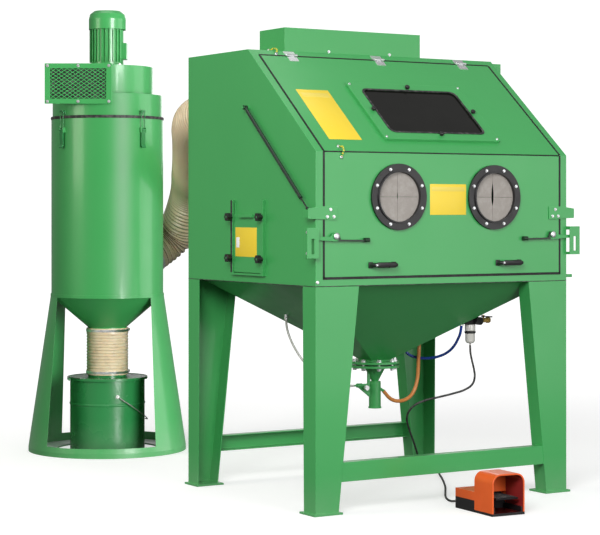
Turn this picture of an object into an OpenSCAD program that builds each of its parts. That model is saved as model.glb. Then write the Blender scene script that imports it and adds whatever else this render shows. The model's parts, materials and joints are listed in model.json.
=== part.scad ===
// Sandblast cabinet on a stand, with its foot pedal and a separate dust collector.
// The origin is the middle of the stand's footprint on the floor.
// X points to the operator's right, Y to the back of the cabinet, Z up. Millimetres.

/* [Cabinet] */
// Overall width of the cabinet body
cab_w = 1250; // [1200:10:1300]
// Overall depth of the cabinet body
cab_d = 1030; // [1000:10:1060]
// Height of the lower edge of the walls
leg_h = 890; // [880:5:900]
// Height at which the front starts to slope back
knee_z = 1415; // [1405:5:1425]
// Height of the roof
roof_z = 1845; // [1840:5:1850]
// How far back the slope runs
slope_run = 520; // [515:5:525]
// Thickness of the cabinet sheet
sheet = 3; // [2.5:0.5:3.5]

/* [Hood] */
// Half of the width of the hood that lifts up
hood_half = 583; // [580:1:585]
// Gap around the hood
seam = 6; // [5:1:7]
// Centre of the window, from the middle of the cabinet
window_x = 25; // [0:5:40]
// Centre of the window, up the slope
window_s = 262; // [255:1:270]
// Width of the glass that shows
window_w = 470; // [440:5:490]
// Height of the glass that shows
window_h = 285; // [270:5:300]
// Distance of each arm port from the middle
port_x = 238; // [230:1:245]
// Height of the arm ports
port_z = 1238; // [1230:1:1245]
// Inner radius of the arm port rings
port_r = 99; // [95:1:103]

/* [Stand] */
// Width of the leg's face at the top
leg_top = 202; // [190:1:210]
// Width of the leg's face at the floor
leg_foot = 107; // [100:1:115]
// Thickness of the leg sheet
leg_t = 4; // [3:0.5:4]
// Distance between anchor holes, left to right
anchor_x = 1150; // [1140:2:1160]
// Distance between anchor holes, front to back
anchor_y = 940; // [930:2:950]
// Radius of an anchor hole
anchor_r = 7; // [5:0.5:8]

/* [Dust collector] */
// Centre of the collector, from the middle of the cabinet
col_x = -395; // [-405:5:-385]
// Centre of the collector, behind the middle of the cabinet
col_y = 1780; // [1775:5:1785]
// Outer radius of the collector's drum
col_r = 276; // [272:1:280]
// Height of the drum's upper edge
col_top = 1632; // [1628:1:1636]
// Height of the drum's lower edge
col_low = 760; // [756:1:764]
// Radius of the stand at the floor
skirt_r = 386; // [380:1:390]

/* [Foot pedal] */
// Centre of the pedal, left to right
ped_x = 35; // [0:5:60]
// Centre of the pedal, front to back
ped_y = -755; // [-780:5:-740]
// Turn of the pedal on the floor
ped_turn = -4; // [-10:1:5]
// Width of the pedal
ped_w = 150; // [145:1:155]
// Length of the pedal
ped_l = 265; // [260:1:270]
// Height of the pedal's guard
ped_h = 162; // [156:1:168]

/* [Hidden] */
$fn = 64;

green = "seagreen";
dark_green = "darkgreen";
steel = "silver";
black = "dimgray";
play = 0.05;                                   // radial running clearance
touch = 0.02;                                  // gap between parts that are clamped together

front_y = -cab_d / 2;
back_y = cab_d / 2;
wall_x = cab_w / 2;
slope = atan2(roof_z - knee_z, slope_run);
slope_len = norm([slope_run, roof_z - knee_z]);
jamb_x = hood_half + seam;                     // inner edge of the jambs
sill_z = 919;                                  // top of the sill
panel_z = sill_z + seam;                       // lower edge of the front panel
hinge_s = 637;                                 // hinge line, up the slope
hinge_n = 6;                                   // hinge line, above the slope
hinge_r = 3;                                   // radius of the hinge pins
hinge_xs = [-435, 0, 435];
lid_top = hinge_s - seam / 2;
strip_low = hinge_s + seam / 2;
proud = 1;                                     // the hood stands proud of the frame
depth = 32;                                    // depth of the rebate behind the seam
flange = 25;                                   // depth of the hood's folded edges
skin_y = front_y - proud;

// Points of the side profile: t is the depth below the outer surface, s runs up the slope.
function knee_pt(t) = [front_y + t, knee_z - t * (1 - sin(slope)) / cos(slope)];
function slope_pt(s, t) = [
    front_y + s * cos(slope) + t * sin(slope),
    knee_z + s * sin(slope) - t * cos(slope)
];

// A strip that follows the front and the slope, from height z0 to s1 up the slope.
module band(t0, t1, z0, s1)
    polygon([
        [front_y + t0, z0], knee_pt(t0), slope_pt(s1, t0),
        slope_pt(s1, t1), knee_pt(t1), [front_y + t1, z0]
    ]);

// Extrudes a Y-Z outline from x0 to x1.
module along_x(x0, x1)
    translate([x0, 0, 0]) rotate([90, 0, 90]) linear_extrude(x1 - x0) children();

// Extrudes an X-Z outline from y0 to y1.
module along_y(y0, y1)
    translate([0, y1, 0]) rotate([90, 0, 0]) linear_extrude(y1 - y0) children();

module block(x0, x1, y0, y1, z0, z1)
    translate([x0, y0, z0]) cube([x1 - x0, y1 - y0, z1 - z0]);

module both_sides() {
    children();
    mirror([1, 0, 0]) children();
}

// X stays X, Y runs up the slope, Z stands out of it.
module on_slope() translate([0, front_y, knee_z]) rotate([slope, 0, 0]) children();

module rounded(w, h, r) {
    translate([-w / 2 + r, -h / 2 + r]) hull() {
        circle(r, $fn = 32);
        translate([w - 2 * r, 0]) circle(r, $fn = 32);
        translate([w - 2 * r, h - 2 * r]) circle(r, $fn = 32);
        translate([0, h - 2 * r]) circle(r, $fn = 32);
    }
}

module ring(r0, r1, h) difference() {
    cylinder(h, r1, r1);
    translate([0, 0, -1]) cylinder(h + 2, r0, r0);
}

// Hexagon head on a washer, standing on Z = 0.
module bolt_head(r) {
    cylinder(r * 0.3, r * 1.35, r * 1.35, $fn = 24);
    translate([0, 0, r * 0.3]) cylinder(r * 0.9, r, r, $fn = 6);
}

// ---- swept tubes ---------------------------------------------------------------------------
tube_ref = [0.31, 0.23, 0.92];                 // no hose runs along this direction

function unit(v) = v / norm(v);
function heading(p, i) = unit(p[min(i + 1, len(p) - 1)] - p[max(i - 1, 0)]);
function tube_ring(p, i, r, n) =
    let (t = heading(p, i), u = unit(cross(t, tube_ref)), v = cross(t, u))
    [for (k = [0 : n - 1]) p[i] + r * (cos(360 * k / n) * u + sin(360 * k / n) * v)];
function tube_faces(m, n) = [
    for (i = [0 : m - 2], k = [0 : n - 1])
        [i * n + k, (i + 1) * n + k, (i + 1) * n + (k + 1) % n, i * n + (k + 1) % n],
    [for (k = [0 : n - 1]) k],
    [for (k = [n - 1 : -1 : 0]) (m - 1) * n + k]
];

module tube(points, r, sides = 10)
    polyhedron(
        points = [for (i = [0 : len(points) - 1]) each tube_ring(points, i, r, sides)],
        faces = tube_faces(len(points), sides),
        convexity = 6
    );

// ---- cabinet body --------------------------------------------------------------------------
hatch_y = [-122, 107];                         // edges of the hatch plate
hatch_z = [930, 1167];
rail_z = [926, 1227];
rail_w = 16;
rail_d = 14;
knob_y = [-131, 116];                          // the knobs stand over the rails
knob_z = [987, 1157];
strut_x = 641;                                 // plane of the gas springs
strut_top = [0, 1605];                         // upper pivot, Y and Z
strut_low = [-503, 1172];                      // lower ball joint, Y and Z
strut_pin_r = 4;

module wall_outline() polygon([
    [back_y, leg_h], [front_y, leg_h], [front_y, knee_z], slope_pt(slope_len, 0), [back_y, roof_z]
]);

// One guide rail: a channel that wraps the edge of the hatch plate.
module hatch_rail(y_edge, way) {
    x0 = -wall_x - rail_d;
    translate([0, y_edge, 0]) mirror([0, way < 0 ? 1 : 0, 0]) difference() {
        block(x0, -wall_x, -3, rail_w, rail_z[0], rail_z[1]);
        block(x0 + 4, -wall_x - 3, -4, 4, rail_z[0] - 1, rail_z[1] + 1);
    }
}

module strut_stud() {
    translate([-wall_x - 6, strut_top[0], strut_top[1]]) rotate([0, 90, 0]) cylinder(6, 10, 10);
    translate([-wall_x - 30, strut_top[0], strut_top[1]]) rotate([0, 90, 0])
        cylinder(30, strut_pin_r, strut_pin_r);
}

module side_walls() color(green) {
    difference() {
        along_x(-wall_x, -wall_x + sheet) wall_outline();
        block(-wall_x - 1, -wall_x + sheet + 1, -98, 83, 960, 1140);
    }
    along_x(wall_x - sheet, wall_x) wall_outline();
    hatch_rail(hatch_y[1], 1);
    hatch_rail(hatch_y[0], -1);
    block(-wall_x - rail_d, -wall_x, hatch_y[0] - rail_w, hatch_y[1] + rail_w, rail_z[0] - 8, rail_z[0]);
    for (y = knob_y, z = knob_z)
        translate([-wall_x - rail_d - 26, y, z]) rotate([0, 90, 0]) cylinder(27, 4, 4);
    both_sides() strut_stud();
}

duct_z = 1620;                                 // height of the outlet in the back wall
duct_x = -380;
duct_r = 100;

// One sheet wraps the roof and the back; its front edge is folded down onto the slope.
module roof_and_back() color(green) {
    inner = wall_x - sheet;
    difference() {
        union() {
            along_x(-inner, inner) polygon([
                [back_y, leg_h], [back_y, roof_z], slope_pt(slope_len, 0), slope_pt(strip_low, 0),
                slope_pt(strip_low, sheet), slope_pt(slope_len, sheet), [back_y - sheet, roof_z - sheet],
                [back_y - sheet, leg_h]
            ]);
            along_x(-jamb_x, jamb_x) polygon([
                slope_pt(strip_low, sheet), slope_pt(strip_low + sheet, sheet),
                slope_pt(strip_low + sheet, depth + sheet), slope_pt(strip_low - 22, depth + sheet),
                slope_pt(strip_low - 22, depth), slope_pt(strip_low, depth)
            ]);
            translate([duct_x, back_y + 60, duct_z]) rotate([90, 0, 0]) cylinder(60, duct_r - 1, duct_r - 1);
        }
        translate([duct_x, back_y + 61, duct_z]) rotate([90, 0, 0]) cylinder(70, duct_r - 4, duct_r - 4);
        lamp_window();
    }
}

lamp_x = [-420, 244];
lamp_y = [44, 220];

module lamp_window() block(lamp_x[0] + 20, lamp_x[1] - 20, lamp_y[0] + 16, lamp_y[1] - 16, roof_z - 10, roof_z + 5);

// The fixed frame around the hood: two jambs and the sill, with a rebate for the seal.
module door_frame() color(green) {
    inner = wall_x - sheet;
    both_sides() {
        along_x(jamb_x, inner) band(0, sheet, sill_z, strip_low);
        along_x(jamb_x, jamb_x + sheet) band(sheet, depth, sill_z, strip_low - 22);
        along_x(jamb_x - 22, jamb_x + sheet) band(depth, depth + sheet, sill_z + 22, strip_low - 30);
    }
    block(-inner, inner, front_y, front_y + sheet, leg_h, sill_z);
    reach = jamb_x + sheet;
    block(-reach, reach, front_y + sheet, front_y + depth, sill_z - sheet, sill_z);
    block(-reach, reach, front_y + depth, front_y + depth + sheet, sill_z - sheet, sill_z + 22);
}

// Rubber strip that lies in the rebate and seals against the hood's edges.
module hood_seal() color(black) {
    t1 = depth - touch;
    t0 = t1 - 5;
    both_sides() along_x(jamb_x - 21, jamb_x - 1) band(t0, t1, sill_z + 22, strip_low - 32);
    block(-jamb_x + 1, jamb_x - 1, front_y + t0, front_y + t1, sill_z + 1, sill_z + 21);
    along_x(-jamb_x + 1, jamb_x - 1) polygon([
        slope_pt(strip_low - 21, t0), slope_pt(strip_low - 1, t0),
        slope_pt(strip_low - 1, t1), slope_pt(strip_low - 21, t1)
    ]);
}

hop_x = 590;                                   // half sizes of the hopper's mouth
hop_y = 480;
hop_low = 548;                                 // height of its lower end
hop_end = 48;
hop_flange_z = 531;
flange_r = 104.5;
flange_t = 10;
flange_pcd = 175;

module hopper_solid(t) hull() {
    block(-hop_x + t, hop_x - t, -hop_y + t, hop_y - t, leg_h + 3, leg_h + 3.5);
    block(-hop_end + t, hop_end - t, -hop_end + t, hop_end - t, hop_low - 0.5, hop_low);
}

module hopper() color(green) {
    difference() {
        hopper_solid(0);
        hopper_solid(sheet);
    }
    difference() {
        block(-wall_x + sheet, wall_x - sheet, front_y + sheet, back_y - sheet, leg_h, leg_h + 3);
        block(-hop_x + 4, hop_x - 4, -hop_y + 4, hop_y - 4, leg_h - 1, leg_h + 4);
    }
    difference() {
        union() {
            block(-hop_end, hop_end, -hop_end, hop_end, hop_flange_z + flange_t, hop_low);
            translate([0, 0, hop_flange_z]) cylinder(flange_t, flange_r, flange_r);
        }
        translate([0, 0, hop_flange_z - 1]) cylinder(40, 40, 40);
        flange_holes(hop_flange_z - 1, flange_t + 2);
    }
}

module flange_holes(z, h)
    for (k = [0 : 7]) rotate([0, 0, 22.5 + 45 * k]) translate([flange_pcd / 2, 0, z]) cylinder(h, 5.5, 5.5);

// ---- stand ---------------------------------------------------------------------------------
foot_t = 8;
lip_d = 72;

function leg_edge(z) = wall_x - leg_foot - (leg_top - leg_foot) * (z - foot_t) / (leg_h - foot_t);

// The right leg of the front pair: a folded channel that tapers to its foot plate.
module leg() {
    along_y(front_y, front_y + leg_t) polygon([
        [wall_x, foot_t], [wall_x, leg_h - 3], [leg_edge(leg_h - 3), leg_h - 3], [leg_edge(foot_t), foot_t]
    ]);
    along_x(wall_x - leg_t, wall_x) polygon([
        [front_y, foot_t], [front_y, leg_h - 3], [front_y + 95, leg_h - 3], [front_y + 86, foot_t]
    ]);
    along_y(front_y, front_y + lip_d) polygon([
        [leg_edge(foot_t), foot_t], [leg_edge(leg_h - 3), leg_h - 3],
        [leg_edge(leg_h - 3) + leg_t, leg_h - 3], [leg_edge(foot_t) + leg_t, foot_t]
    ]);
    block(leg_edge(leg_h) + 12, wall_x - leg_t, front_y + leg_t, front_y + lip_d, leg_h - 6, leg_h);
    difference() {
        block(leg_edge(foot_t) - 12, wall_x + 12, front_y - 12, front_y + 100, 0, foot_t);
        translate([anchor_x / 2, -anchor_y / 2, -1]) cylinder(foot_t + 2, anchor_r, anchor_r);
    }
}

// The top of the leg is cut away where the hopper passes.
module fitted_leg() difference() {
    leg();
    hopper_solid(-1);
}

// Cross rail between two legs: a channel whose open side faces away from the leg's face.
module cross_rail(z0, z1) {
    edge0 = leg_edge(z0);
    edge1 = leg_edge(z1);
    along_y(front_y + 2, front_y + 2 + leg_t)
        polygon([[-edge0, z0], [edge0, z0], [edge1, z1], [-edge1, z1]]);
    for (z = [z0, z1 - leg_t])
        block(-leg_edge(z) - 1, leg_edge(z) + 1, front_y + 2, front_y + 46, z, z + leg_t);
}

module front_stand() color(green) {
    both_sides() fitted_leg();
    cross_rail(124, 200);
}

module rear_stand() color(green) mirror([0, 1, 0]) {
    both_sides() fitted_leg();
    cross_rail(138, 205);
}

// ---- fittings of the cabinet body ----------------------------------------------------------
module light_box() color(green) {
    x0 = lamp_x[0] - 13;
    x1 = lamp_x[1] + 13;
    difference() {
        block(x0, x1, lamp_y[0] - 14, lamp_y[1] + 14, roof_z, roof_z + 102);
        block(x0 + 2, x1 - 2, lamp_y[0] - 12, lamp_y[1] + 12, roof_z - 1, roof_z + 100);
    }
    for (y = [90, 174])
        translate([lamp_x[0] - 11, y, roof_z + 60]) rotate([0, 90, 0]) cylinder(686, 13, 13);
}

// Lift-out grate on which the work is laid.
module work_grate() color(steel) {
    z = 897;
    x1 = wall_x - sheet - 2;
    y1 = back_y - sheet - 2;
    difference() {
        block(-x1, x1, -478, y1, z, z + 4);
        block(-x1 + 40, x1 - 40, -440, y1 - 40, z - 1, z + 5);
    }
    for (i = [0 : 9]) block(-x1 + 30, x1 - 30, -425 + i * 96, -417 + i * 96, z, z + 25);
    for (x = [-360, 0, 360]) block(x - 4, x + 4, -450, y1 - 20, z, z + 25);
}

// The gun hangs inside from its own hose stub and the siphon tee.
module blast_gun() color(steel) {
    translate([120, 60, 1060]) rotate([0, 70, -70]) {
        cylinder(120, 16, 16);
        translate([0, 0, 120]) cylinder(45, 11, 11);
        translate([0, 0, -30]) cylinder(30, 9, 9);
        rotate([0, -130, 0]) cylinder(70, 10, 10);
    }
    translate([120, 60, 922]) cylinder(130, 6, 6);
}

// Box over the fresh-air opening, with a slot underneath.
module intake_box() color(green) {
    difference() {
        block(wall_x, wall_x + 75, 30, 250, 1600, 1838);
        block(wall_x - 1, wall_x + 73, 32, 248, 1599, 1836);
    }
    block(wall_x + 20, wall_x + 60, 22, 30, 1770, 1790);
}

keeper_lip = wall_x + 53;
keeper_z = [999, 1117];
latch_x = 540;
latch_z = 1084;
latch_y = front_y - 12;                        // middle of the lever's thickness
tongue = 106;                                  // reach of the lever's outer end

// Keeper: a plate on the wall, carried forward above and below the lever to a slotted lip.
module keeper() {
    x0 = wall_x;
    lip_y = latch_y - 8;
    difference() {
        union() {
            block(x0, x0 + 4, front_y + 5, front_y + 75, keeper_z[0], keeper_z[1]);
            block(x0, x0 + 4, lip_y, front_y + 6, keeper_z[1] - 14, keeper_z[1]);
            block(x0, x0 + 4, lip_y, front_y + 6, keeper_z[0], keeper_z[0] + 11);
            block(x0, keeper_lip, lip_y - 4, lip_y, keeper_z[0], keeper_z[1]);
        }
        block(x0 + 20, x0 + 34, lip_y - 5, lip_y + 1, keeper_z[0] + 16, keeper_z[1] - 42);
    }
}

module latch_keepers() color(green) both_sides() keeper();

// One fixed hinge leaf: two knuckles that carry the pin.
module hinge_leaf(x) translate([x, 0, 0]) on_slope() {
    block(-26, 26, hinge_s + 7, hinge_s + 32, touch, 2.5);
    for (side = [-1, 1]) {
        translate([side * 19 - 7, hinge_s, hinge_n]) rotate([0, 90, 0]) cylinder(14, 5.5, 5.5);
        block(side * 19 - 7, side * 19 + 7, hinge_s, hinge_s + 10, 0.6, 2.5);
    }
    translate([-29, hinge_s, hinge_n]) rotate([0, 90, 0]) cylinder(58, hinge_r, hinge_r);
}

module hinge_leaves() color(steel) for (x = hinge_xs) hinge_leaf(x);

// Bright bolts that stay with the cabinet, the collector and the hopper's flange.
module frame_bolts() color(steel) {
    both_sides() for (z = [keeper_z[0] + 18, keeper_z[1] - 18])
        translate([wall_x + 4, front_y + 50, z]) rotate([0, 90, 0]) bolt_head(5.5);
    translate([-wall_x + 8, front_y, 905]) rotate([90, 0, 0]) bolt_head(5);
    for (k = [0 : 7]) rotate([0, 0, 22.5 + 45 * k]) translate([flange_pcd / 2, 0, 0]) {
        translate([0, 0, hop_flange_z + flange_t]) bolt_head(9);
        translate([0, 0, valve_z - 12]) cylinder(hop_flange_z + flange_t + 12 - valve_z, 5, 5);
        mirror([0, 0, 1]) translate([0, 0, touch - valve_z]) bolt_head(9);
    }
    for (x = [-215, 95]) translate([x, lamp_y[0] - 14, roof_z + 9]) rotate([90, 0, 0]) bolt_head(5);
}

// Star knobs of the side hatch.
module star_knob() {
    cylinder(10, 9, 9);
    translate([0, 0, 10]) difference() {
        cylinder(16, 17, 17);
        for (k = [0 : 5]) rotate([0, 0, 60 * k]) translate([21, 0, -1]) cylinder(18, 7, 7);
    }
}

module hatch_knobs() color(black) for (y = knob_y, z = knob_z)
    translate([-wall_x - rail_d, y, z]) rotate([0, -90, 0]) difference() {
        star_knob();
        translate([0, 0, -1]) cylinder(28, 4, 4);
    }

// ---- media valve, air supply ---------------------------------------------------------------
valve_z = 515;
pipe_r = 25.5;
pipe_z = [340, 446];
screw_z = 440;
screw_r = 4;
arm_x = -92;
screw_x = -58;

module media_valve() color(green) {
    difference() {
        union() {
            translate([0, 0, valve_z]) cylinder(flange_t, flange_r, flange_r);
            translate([0, 0, pipe_z[1] + 8]) cylinder(valve_z - pipe_z[1] - 8, 14, 46);
            translate([0, 0, pipe_z[0]]) cylinder(pipe_z[1] - pipe_z[0], pipe_r, pipe_r);
            translate([0, 0, pipe_z[1]]) cylinder(9, 25, 25);
            translate([0, 0, pipe_z[0]]) cylinder(6, 28, 28);
            along_y(-3, 3) polygon([
                [-pipe_r + 2, pipe_z[1]], [arm_x + 6, pipe_z[1]], [arm_x + 6, screw_z - 8], [-pipe_r + 2, 385]
            ]);
            block(-38, -26, -4, 4, pipe_z[1] - 8, valve_z);
            translate([arm_x, 0, screw_z]) rotate([0, 90, 0]) cylinder(24, 9, 9);
            translate([arm_x - 16, 0, screw_z]) rotate([0, 90, 0]) cylinder(18, 4, 4);
            translate([screw_x, 0, screw_z - 10]) rotate([90, 0, 0]) cylinder(14, 8, 8);
            translate([20, 0, 425]) rotate([0, 120, 0]) cylinder(28, 6, 6);
        }
        flange_holes(valve_z - 1, flange_t + 2);
        translate([0, 0, pipe_z[0] - 1]) cylinder(96, 20, 20);
        translate([0, 0, pipe_z[0] + 90]) cylinder(40, 8, 8);
        translate([0, 0, pipe_z[1] + 8]) cylinder(valve_z + 12 - pipe_z[1], 9, 41);
        translate([screw_x, 4, screw_z - 10]) rotate([90, 0, 0])
            cylinder(20, screw_r + play, screw_r + play);
    }
}

module metering_screw() color(steel) translate([screw_x, 0, screw_z - 10]) rotate([90, 0, 0]) {
    translate([0, 0, -2]) cylinder(20, screw_r, screw_r);
    translate([0, 0, 18]) cylinder(12, 11, 11, $fn = 8);
}

reg = [334, -230, 714];                        // centre of the filter regulator's head

module regulator_body() color(black) translate(reg) {
    difference() {
        block(-34, 46, -21, 21, -14, 14);
        translate([20, -40, 0]) rotate([-90, 0, 0]) cylinder(25, 6 + play, 6 + play);
    }
    translate([0, 0, -42]) cylinder(30, 21.5, 21.5);
    z0 = 10;
    top_at = hopper_under(reg[0] - 10) - reg[2];
    top_end = hopper_under(reg[0] + 40) - reg[2];
    along_y(-5, 5) polygon([[-10, z0], [40, z0], [40, top_end], [-10, top_at]]);
}

// Height of the underside of the hopper's right side at X.
function hopper_under(x) =
    let (top = leg_h + 3.5, low = hop_low - 0.5)
    low + (x - hop_end) * (leg_h + 3 - low) / (hop_x - hop_end);

module regulator_bowl() color(steel) translate(reg) {
    difference() {
        union() {
            translate([0, 0, -84]) cylinder(42, 21, 21);
            translate([0, 0, -96]) cylinder(12, 14, 21);
            translate([0, 0, -104]) cylinder(8, 4, 4);
        }
        translate([0, 0, -90]) cylinder(49, 18, 18);
    }
}

module regulator_knob() color(black) translate(reg + [20, 0, 0]) rotate([90, 0, 0]) {
    translate([0, 0, 18]) cylinder(5, 6, 6);
    translate([0, 0, 22]) cylinder(24, 17, 17);
}

valve_stem = reg + [70, 0, 0];
inlet_r = 8.5;                                 // thread of the air inlet

module ball_valve_body() color("goldenrod") {
    difference() {
        translate(reg + [46, 0, 0]) rotate([0, 90, 0]) union() {
            cylinder(46, 10, 10);
            cylinder(10, 13, 13, $fn = 6);
            translate([0, 0, 40]) cylinder(16, 13, 13, $fn = 6);
        }
        translate(reg + [90, 0, 0]) rotate([0, 90, 0]) cylinder(14, inlet_r, inlet_r);
    }
    translate(valve_stem) cylinder(23, 4, 4);
}

module ball_valve_lever() color(black) translate(valve_stem) difference() {
    union() {
        translate([0, 0, 14]) cylinder(6, 9, 9);
        block(-5, 5, -54, 0, 15, 18);
        block(-7, 7, -56, -26, 14, 19);
    }
    translate([0, 0, 12]) cylinder(10, 4 + play, 4 + play);
}

// ---- foot pedal ----------------------------------------------------------------------------
ped_base_h = 46;                               // height of the base behind the guard
ped_plate = 10;                                // thickness of the plate on the floor
ped_split = -5;                                // the guard's arch ends here
hinge_ped = [20, 60];                          // treadle hinge: Y and Z in the pedal's frame
module at_pedal() translate([ped_x, ped_y, 0]) rotate([0, 0, ped_turn]) children();

module pedal_base() color(black) at_pedal() {
    w = ped_w / 2;
    l = ped_l / 2;
    block(-w, w, -l, l, 0, ped_plate);
    block(-w, w, ped_split + touch, l, ped_plate, ped_base_h);
    for (side = [-1, 1]) {
        block(side * (w - 11) - 3, side * (w - 11) + 3, -l + 4, ped_split + touch, ped_plate, 30);
        block(side * 58 - 4, side * 58 + 4, 10, 30, ped_base_h, 72);
    }
    translate([-54, hinge_ped[0], hinge_ped[1]]) rotate([0, 90, 0]) cylinder(108, 4, 4);
    translate([-30, l, 18]) rotate([-90, 0, 0]) cylinder(18, 9, 9);
}

module pedal_guard() color("orangered") at_pedal() {
    w = ped_w / 2;
    y0 = -ped_l / 2;
    difference() {
        along_y(y0, ped_split) guard_outline(0);
        along_y(y0 - 1, ped_split - 5) guard_outline(6);
        block(6 - w, w - 6, ped_split - 6, ped_split + 1, ped_plate - 1, 76);
    }
    difference() {
        block(-w, w, ped_split, -y0, ped_base_h, 80);
        block(6 - w, w - 6, ped_split - 1, -y0 - 6, ped_base_h - 1, 76);
    }
}

// The guard's arch, seen from the front, shrunk by t and then open below.
module guard_outline(t) {
    r = 38 - t;
    half = ped_w / 2 - t;
    top = ped_h - t;
    low = t > 0 ? ped_plate - 1 : ped_plate;
    translate([-half, low]) square([2 * half, top - r - low]);
    translate([-half + r, low]) square([2 * (half - r), top - low]);
    for (side = [-1, 1]) translate([side * (half - r), top - r]) circle(r);
}

module pedal_treadle() color(black) at_pedal() difference() {
    union() {
        along_x(-50, 50) polygon([
            [hinge_ped[0] - 2, hinge_ped[1] - 5], [-122, 60], [-124, 64], [-120, 67],
            [hinge_ped[0], hinge_ped[1] + 7], [hinge_ped[0] + 5, hinge_ped[1] + 4]
        ]);
        translate([-50, hinge_ped[0], hinge_ped[1]]) rotate([0, 90, 0]) cylinder(100, 8, 8);
    }
    translate([-51, hinge_ped[0], hinge_ped[1]]) rotate([0, 90, 0]) cylinder(102, 4 + play, 4 + play);
}

// ---- hood ----------------------------------------------------------------------------------
module window_lid() color(green) {
    on_slope() difference() {
        union() {
            block(-hood_half, hood_half, 2, lid_top, proud - sheet, proud);
            both_sides() block(hood_half - sheet, hood_half, 12, lid_top, -flange, proud - sheet);
            block(-hood_half + sheet, hood_half - sheet, lid_top - sheet, lid_top, -flange, proud - sheet);
        }
        translate([window_x, window_s, -5]) linear_extrude(10) rounded(window_w + 20, window_h + 20, 30);
        for (x = hinge_xs) block(x - 13, x + 13, lid_top - 4, lid_top + 1, -5, 5);
    }
    both_sides() along_x(hood_half - 2 * sheet, hood_half - sheet)
        band(sheet + 1, flange - 1, knee_z - 120, 120);
}

module front_panel() color(green) {
    difference() {
        union() {
            block(-hood_half, hood_half, skin_y, skin_y + sheet, panel_z, knee_z - 4);
            both_sides()
                block(hood_half - sheet, hood_half, skin_y + sheet, front_y + flange, panel_z, knee_z - 12);
            block(-hood_half + sheet, hood_half - sheet, skin_y + sheet, front_y + flange, panel_z,
                  panel_z + sheet);
            block(-hood_half + 2 * sheet, hood_half - 2 * sheet, skin_y + sheet, front_y + flange - 6,
                  knee_z - 7, knee_z - 4);
        }
        for (x = [-port_x, port_x]) translate([x, front_y + 5, port_z]) rotate([90, 0, 0]) {
            cylinder(20, port_r + 4, port_r + 4);
            port_bolt_holes(20, 3);
        }
    }
    for (side = [-1, 1]) translate([side * latch_x, skin_y, latch_z]) rotate([90, 0, 0]) cylinder(18, 6, 6);
}

module port_bolt_holes(h, r)
    for (k = [0 : 7]) rotate([0, 0, 22.5 + 45 * k]) translate([port_r + 18, 0, 0]) cylinder(h, r, r);

frame_out = [580, 380];

module window_frame() color(green) on_slope() translate([window_x, window_s, proud]) difference() {
    linear_extrude(12) rounded(frame_out[0], frame_out[1], 12);
    translate([0, 0, -1]) linear_extrude(10) rounded(frame_out[0] - 30, frame_out[1] - 30, 10);
    translate([0, 0, -1]) linear_extrude(20) rounded(window_w, window_h, 28);
}

module window_glass() color("darkslategray") on_slope() translate([window_x, window_s, proud])
    linear_extrude(8) rounded(frame_out[0] - 32, frame_out[1] - 32, 9);

module port_rings() color(black) for (x = [-port_x, port_x])
    translate([x, skin_y - 2, port_z]) rotate([90, 0, 0]) difference() {
        union() {
            ring(port_r, port_r + 33, 10);
            ring(port_r, port_r + 6, 16);
        }
        translate([0, 0, -1]) port_bolt_holes(20, 3.2);
    }

// Rubber discs with a cross slit, clamped behind the rings.
module arm_membranes() color("rosybrown") for (x = [-port_x, port_x])
    translate([x, skin_y, port_z]) rotate([90, 0, 0]) difference() {
        cylinder(2, port_r + 30, port_r + 30);
        block(-1.5, 1.5, -port_r + 12, port_r - 12, -1, 3);
        block(-port_r + 12, port_r - 12, -1.5, 1.5, -1, 3);
        translate([0, 0, -1]) port_bolt_holes(4, 3.2);
    }

hood_bolt = 4.8;                               // radius across the corners of its heads

module hood_bolts() color(steel) {
    for (x = [-port_x, port_x], k = [0 : 7])
        translate([x, skin_y - 12, port_z]) rotate([90, 0, 0]) rotate([0, 0, 22.5 + 45 * k])
            translate([port_r + 18, 0, 0]) {
                bolt_head(hood_bolt);
                translate([0, 0, -18]) cylinder(18, 2.9, 2.9);
            }
    both_sides() for (p = bracket_bolts) translate([p[0], skin_y - 5, p[1]]) rotate([90, 0, 0]) bolt_head(hood_bolt);
}

handle_x = 315;
handle_half = 67;
handle_z = 969;

module pull_handles() color(black) for (x = [-handle_x, handle_x]) translate([x, skin_y, handle_z]) {
    difference() {
        along_y(-38, 0) translate([-handle_half, -15]) square([2 * handle_half, 30]);
        block(15 - handle_half, handle_half - 15, -26, 1, -16, 16);
    }
}

bracket_bolts = [[545, 1160], [575, 1160], [560, 1188]];

// Bracket that carries the lower end of the gas spring past the side of the cabinet.
module strut_bracket() {
    along_y(skin_y - 5, skin_y) polygon([
        [528, 1147], [662, 1152], [662, 1192], [600, 1200], [528, 1200]
    ]);
    block(658, 662, skin_y - 5, skin_y + 32, 1157, 1187);
    translate([653, strut_low[0], strut_low[1]]) rotate([0, 90, 0]) cylinder(6, 6, 6);
}

module strut_brackets() color(green) both_sides() strut_bracket();

// One moving hinge leaf, with a knuckle that turns on the pin.
module hinge_flap(x) translate([x, 0, 0]) on_slope() difference() {
    union() {
        block(-22, 22, hinge_s - 36, hinge_s - 8, proud, proud + 2.5);
        block(-11, 11, hinge_s - 10, hinge_s, proud, proud + 2.5);
        translate([-11, hinge_s, hinge_n]) rotate([0, 90, 0]) cylinder(22, 5, 5);
    }
    translate([-12, hinge_s, hinge_n]) rotate([0, 90, 0]) cylinder(24, hinge_r + play, hinge_r + play);
}

module hinge_flaps() color(steel) for (x = hinge_xs) hinge_flap(x);

// ---- moving fittings -----------------------------------------------------------------------
// The hatch plate with the folded lip by which it is lifted.
module side_hatch() color(green) {
    block(-wall_x - 9, -wall_x - 4, hatch_y[0] - 2, hatch_y[1] + 2, hatch_z[0], hatch_z[1]);
    block(-wall_x - 22, -wall_x - 9, -60, 45, hatch_z[1] - 12, hatch_z[1] - 1);
}

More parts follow.
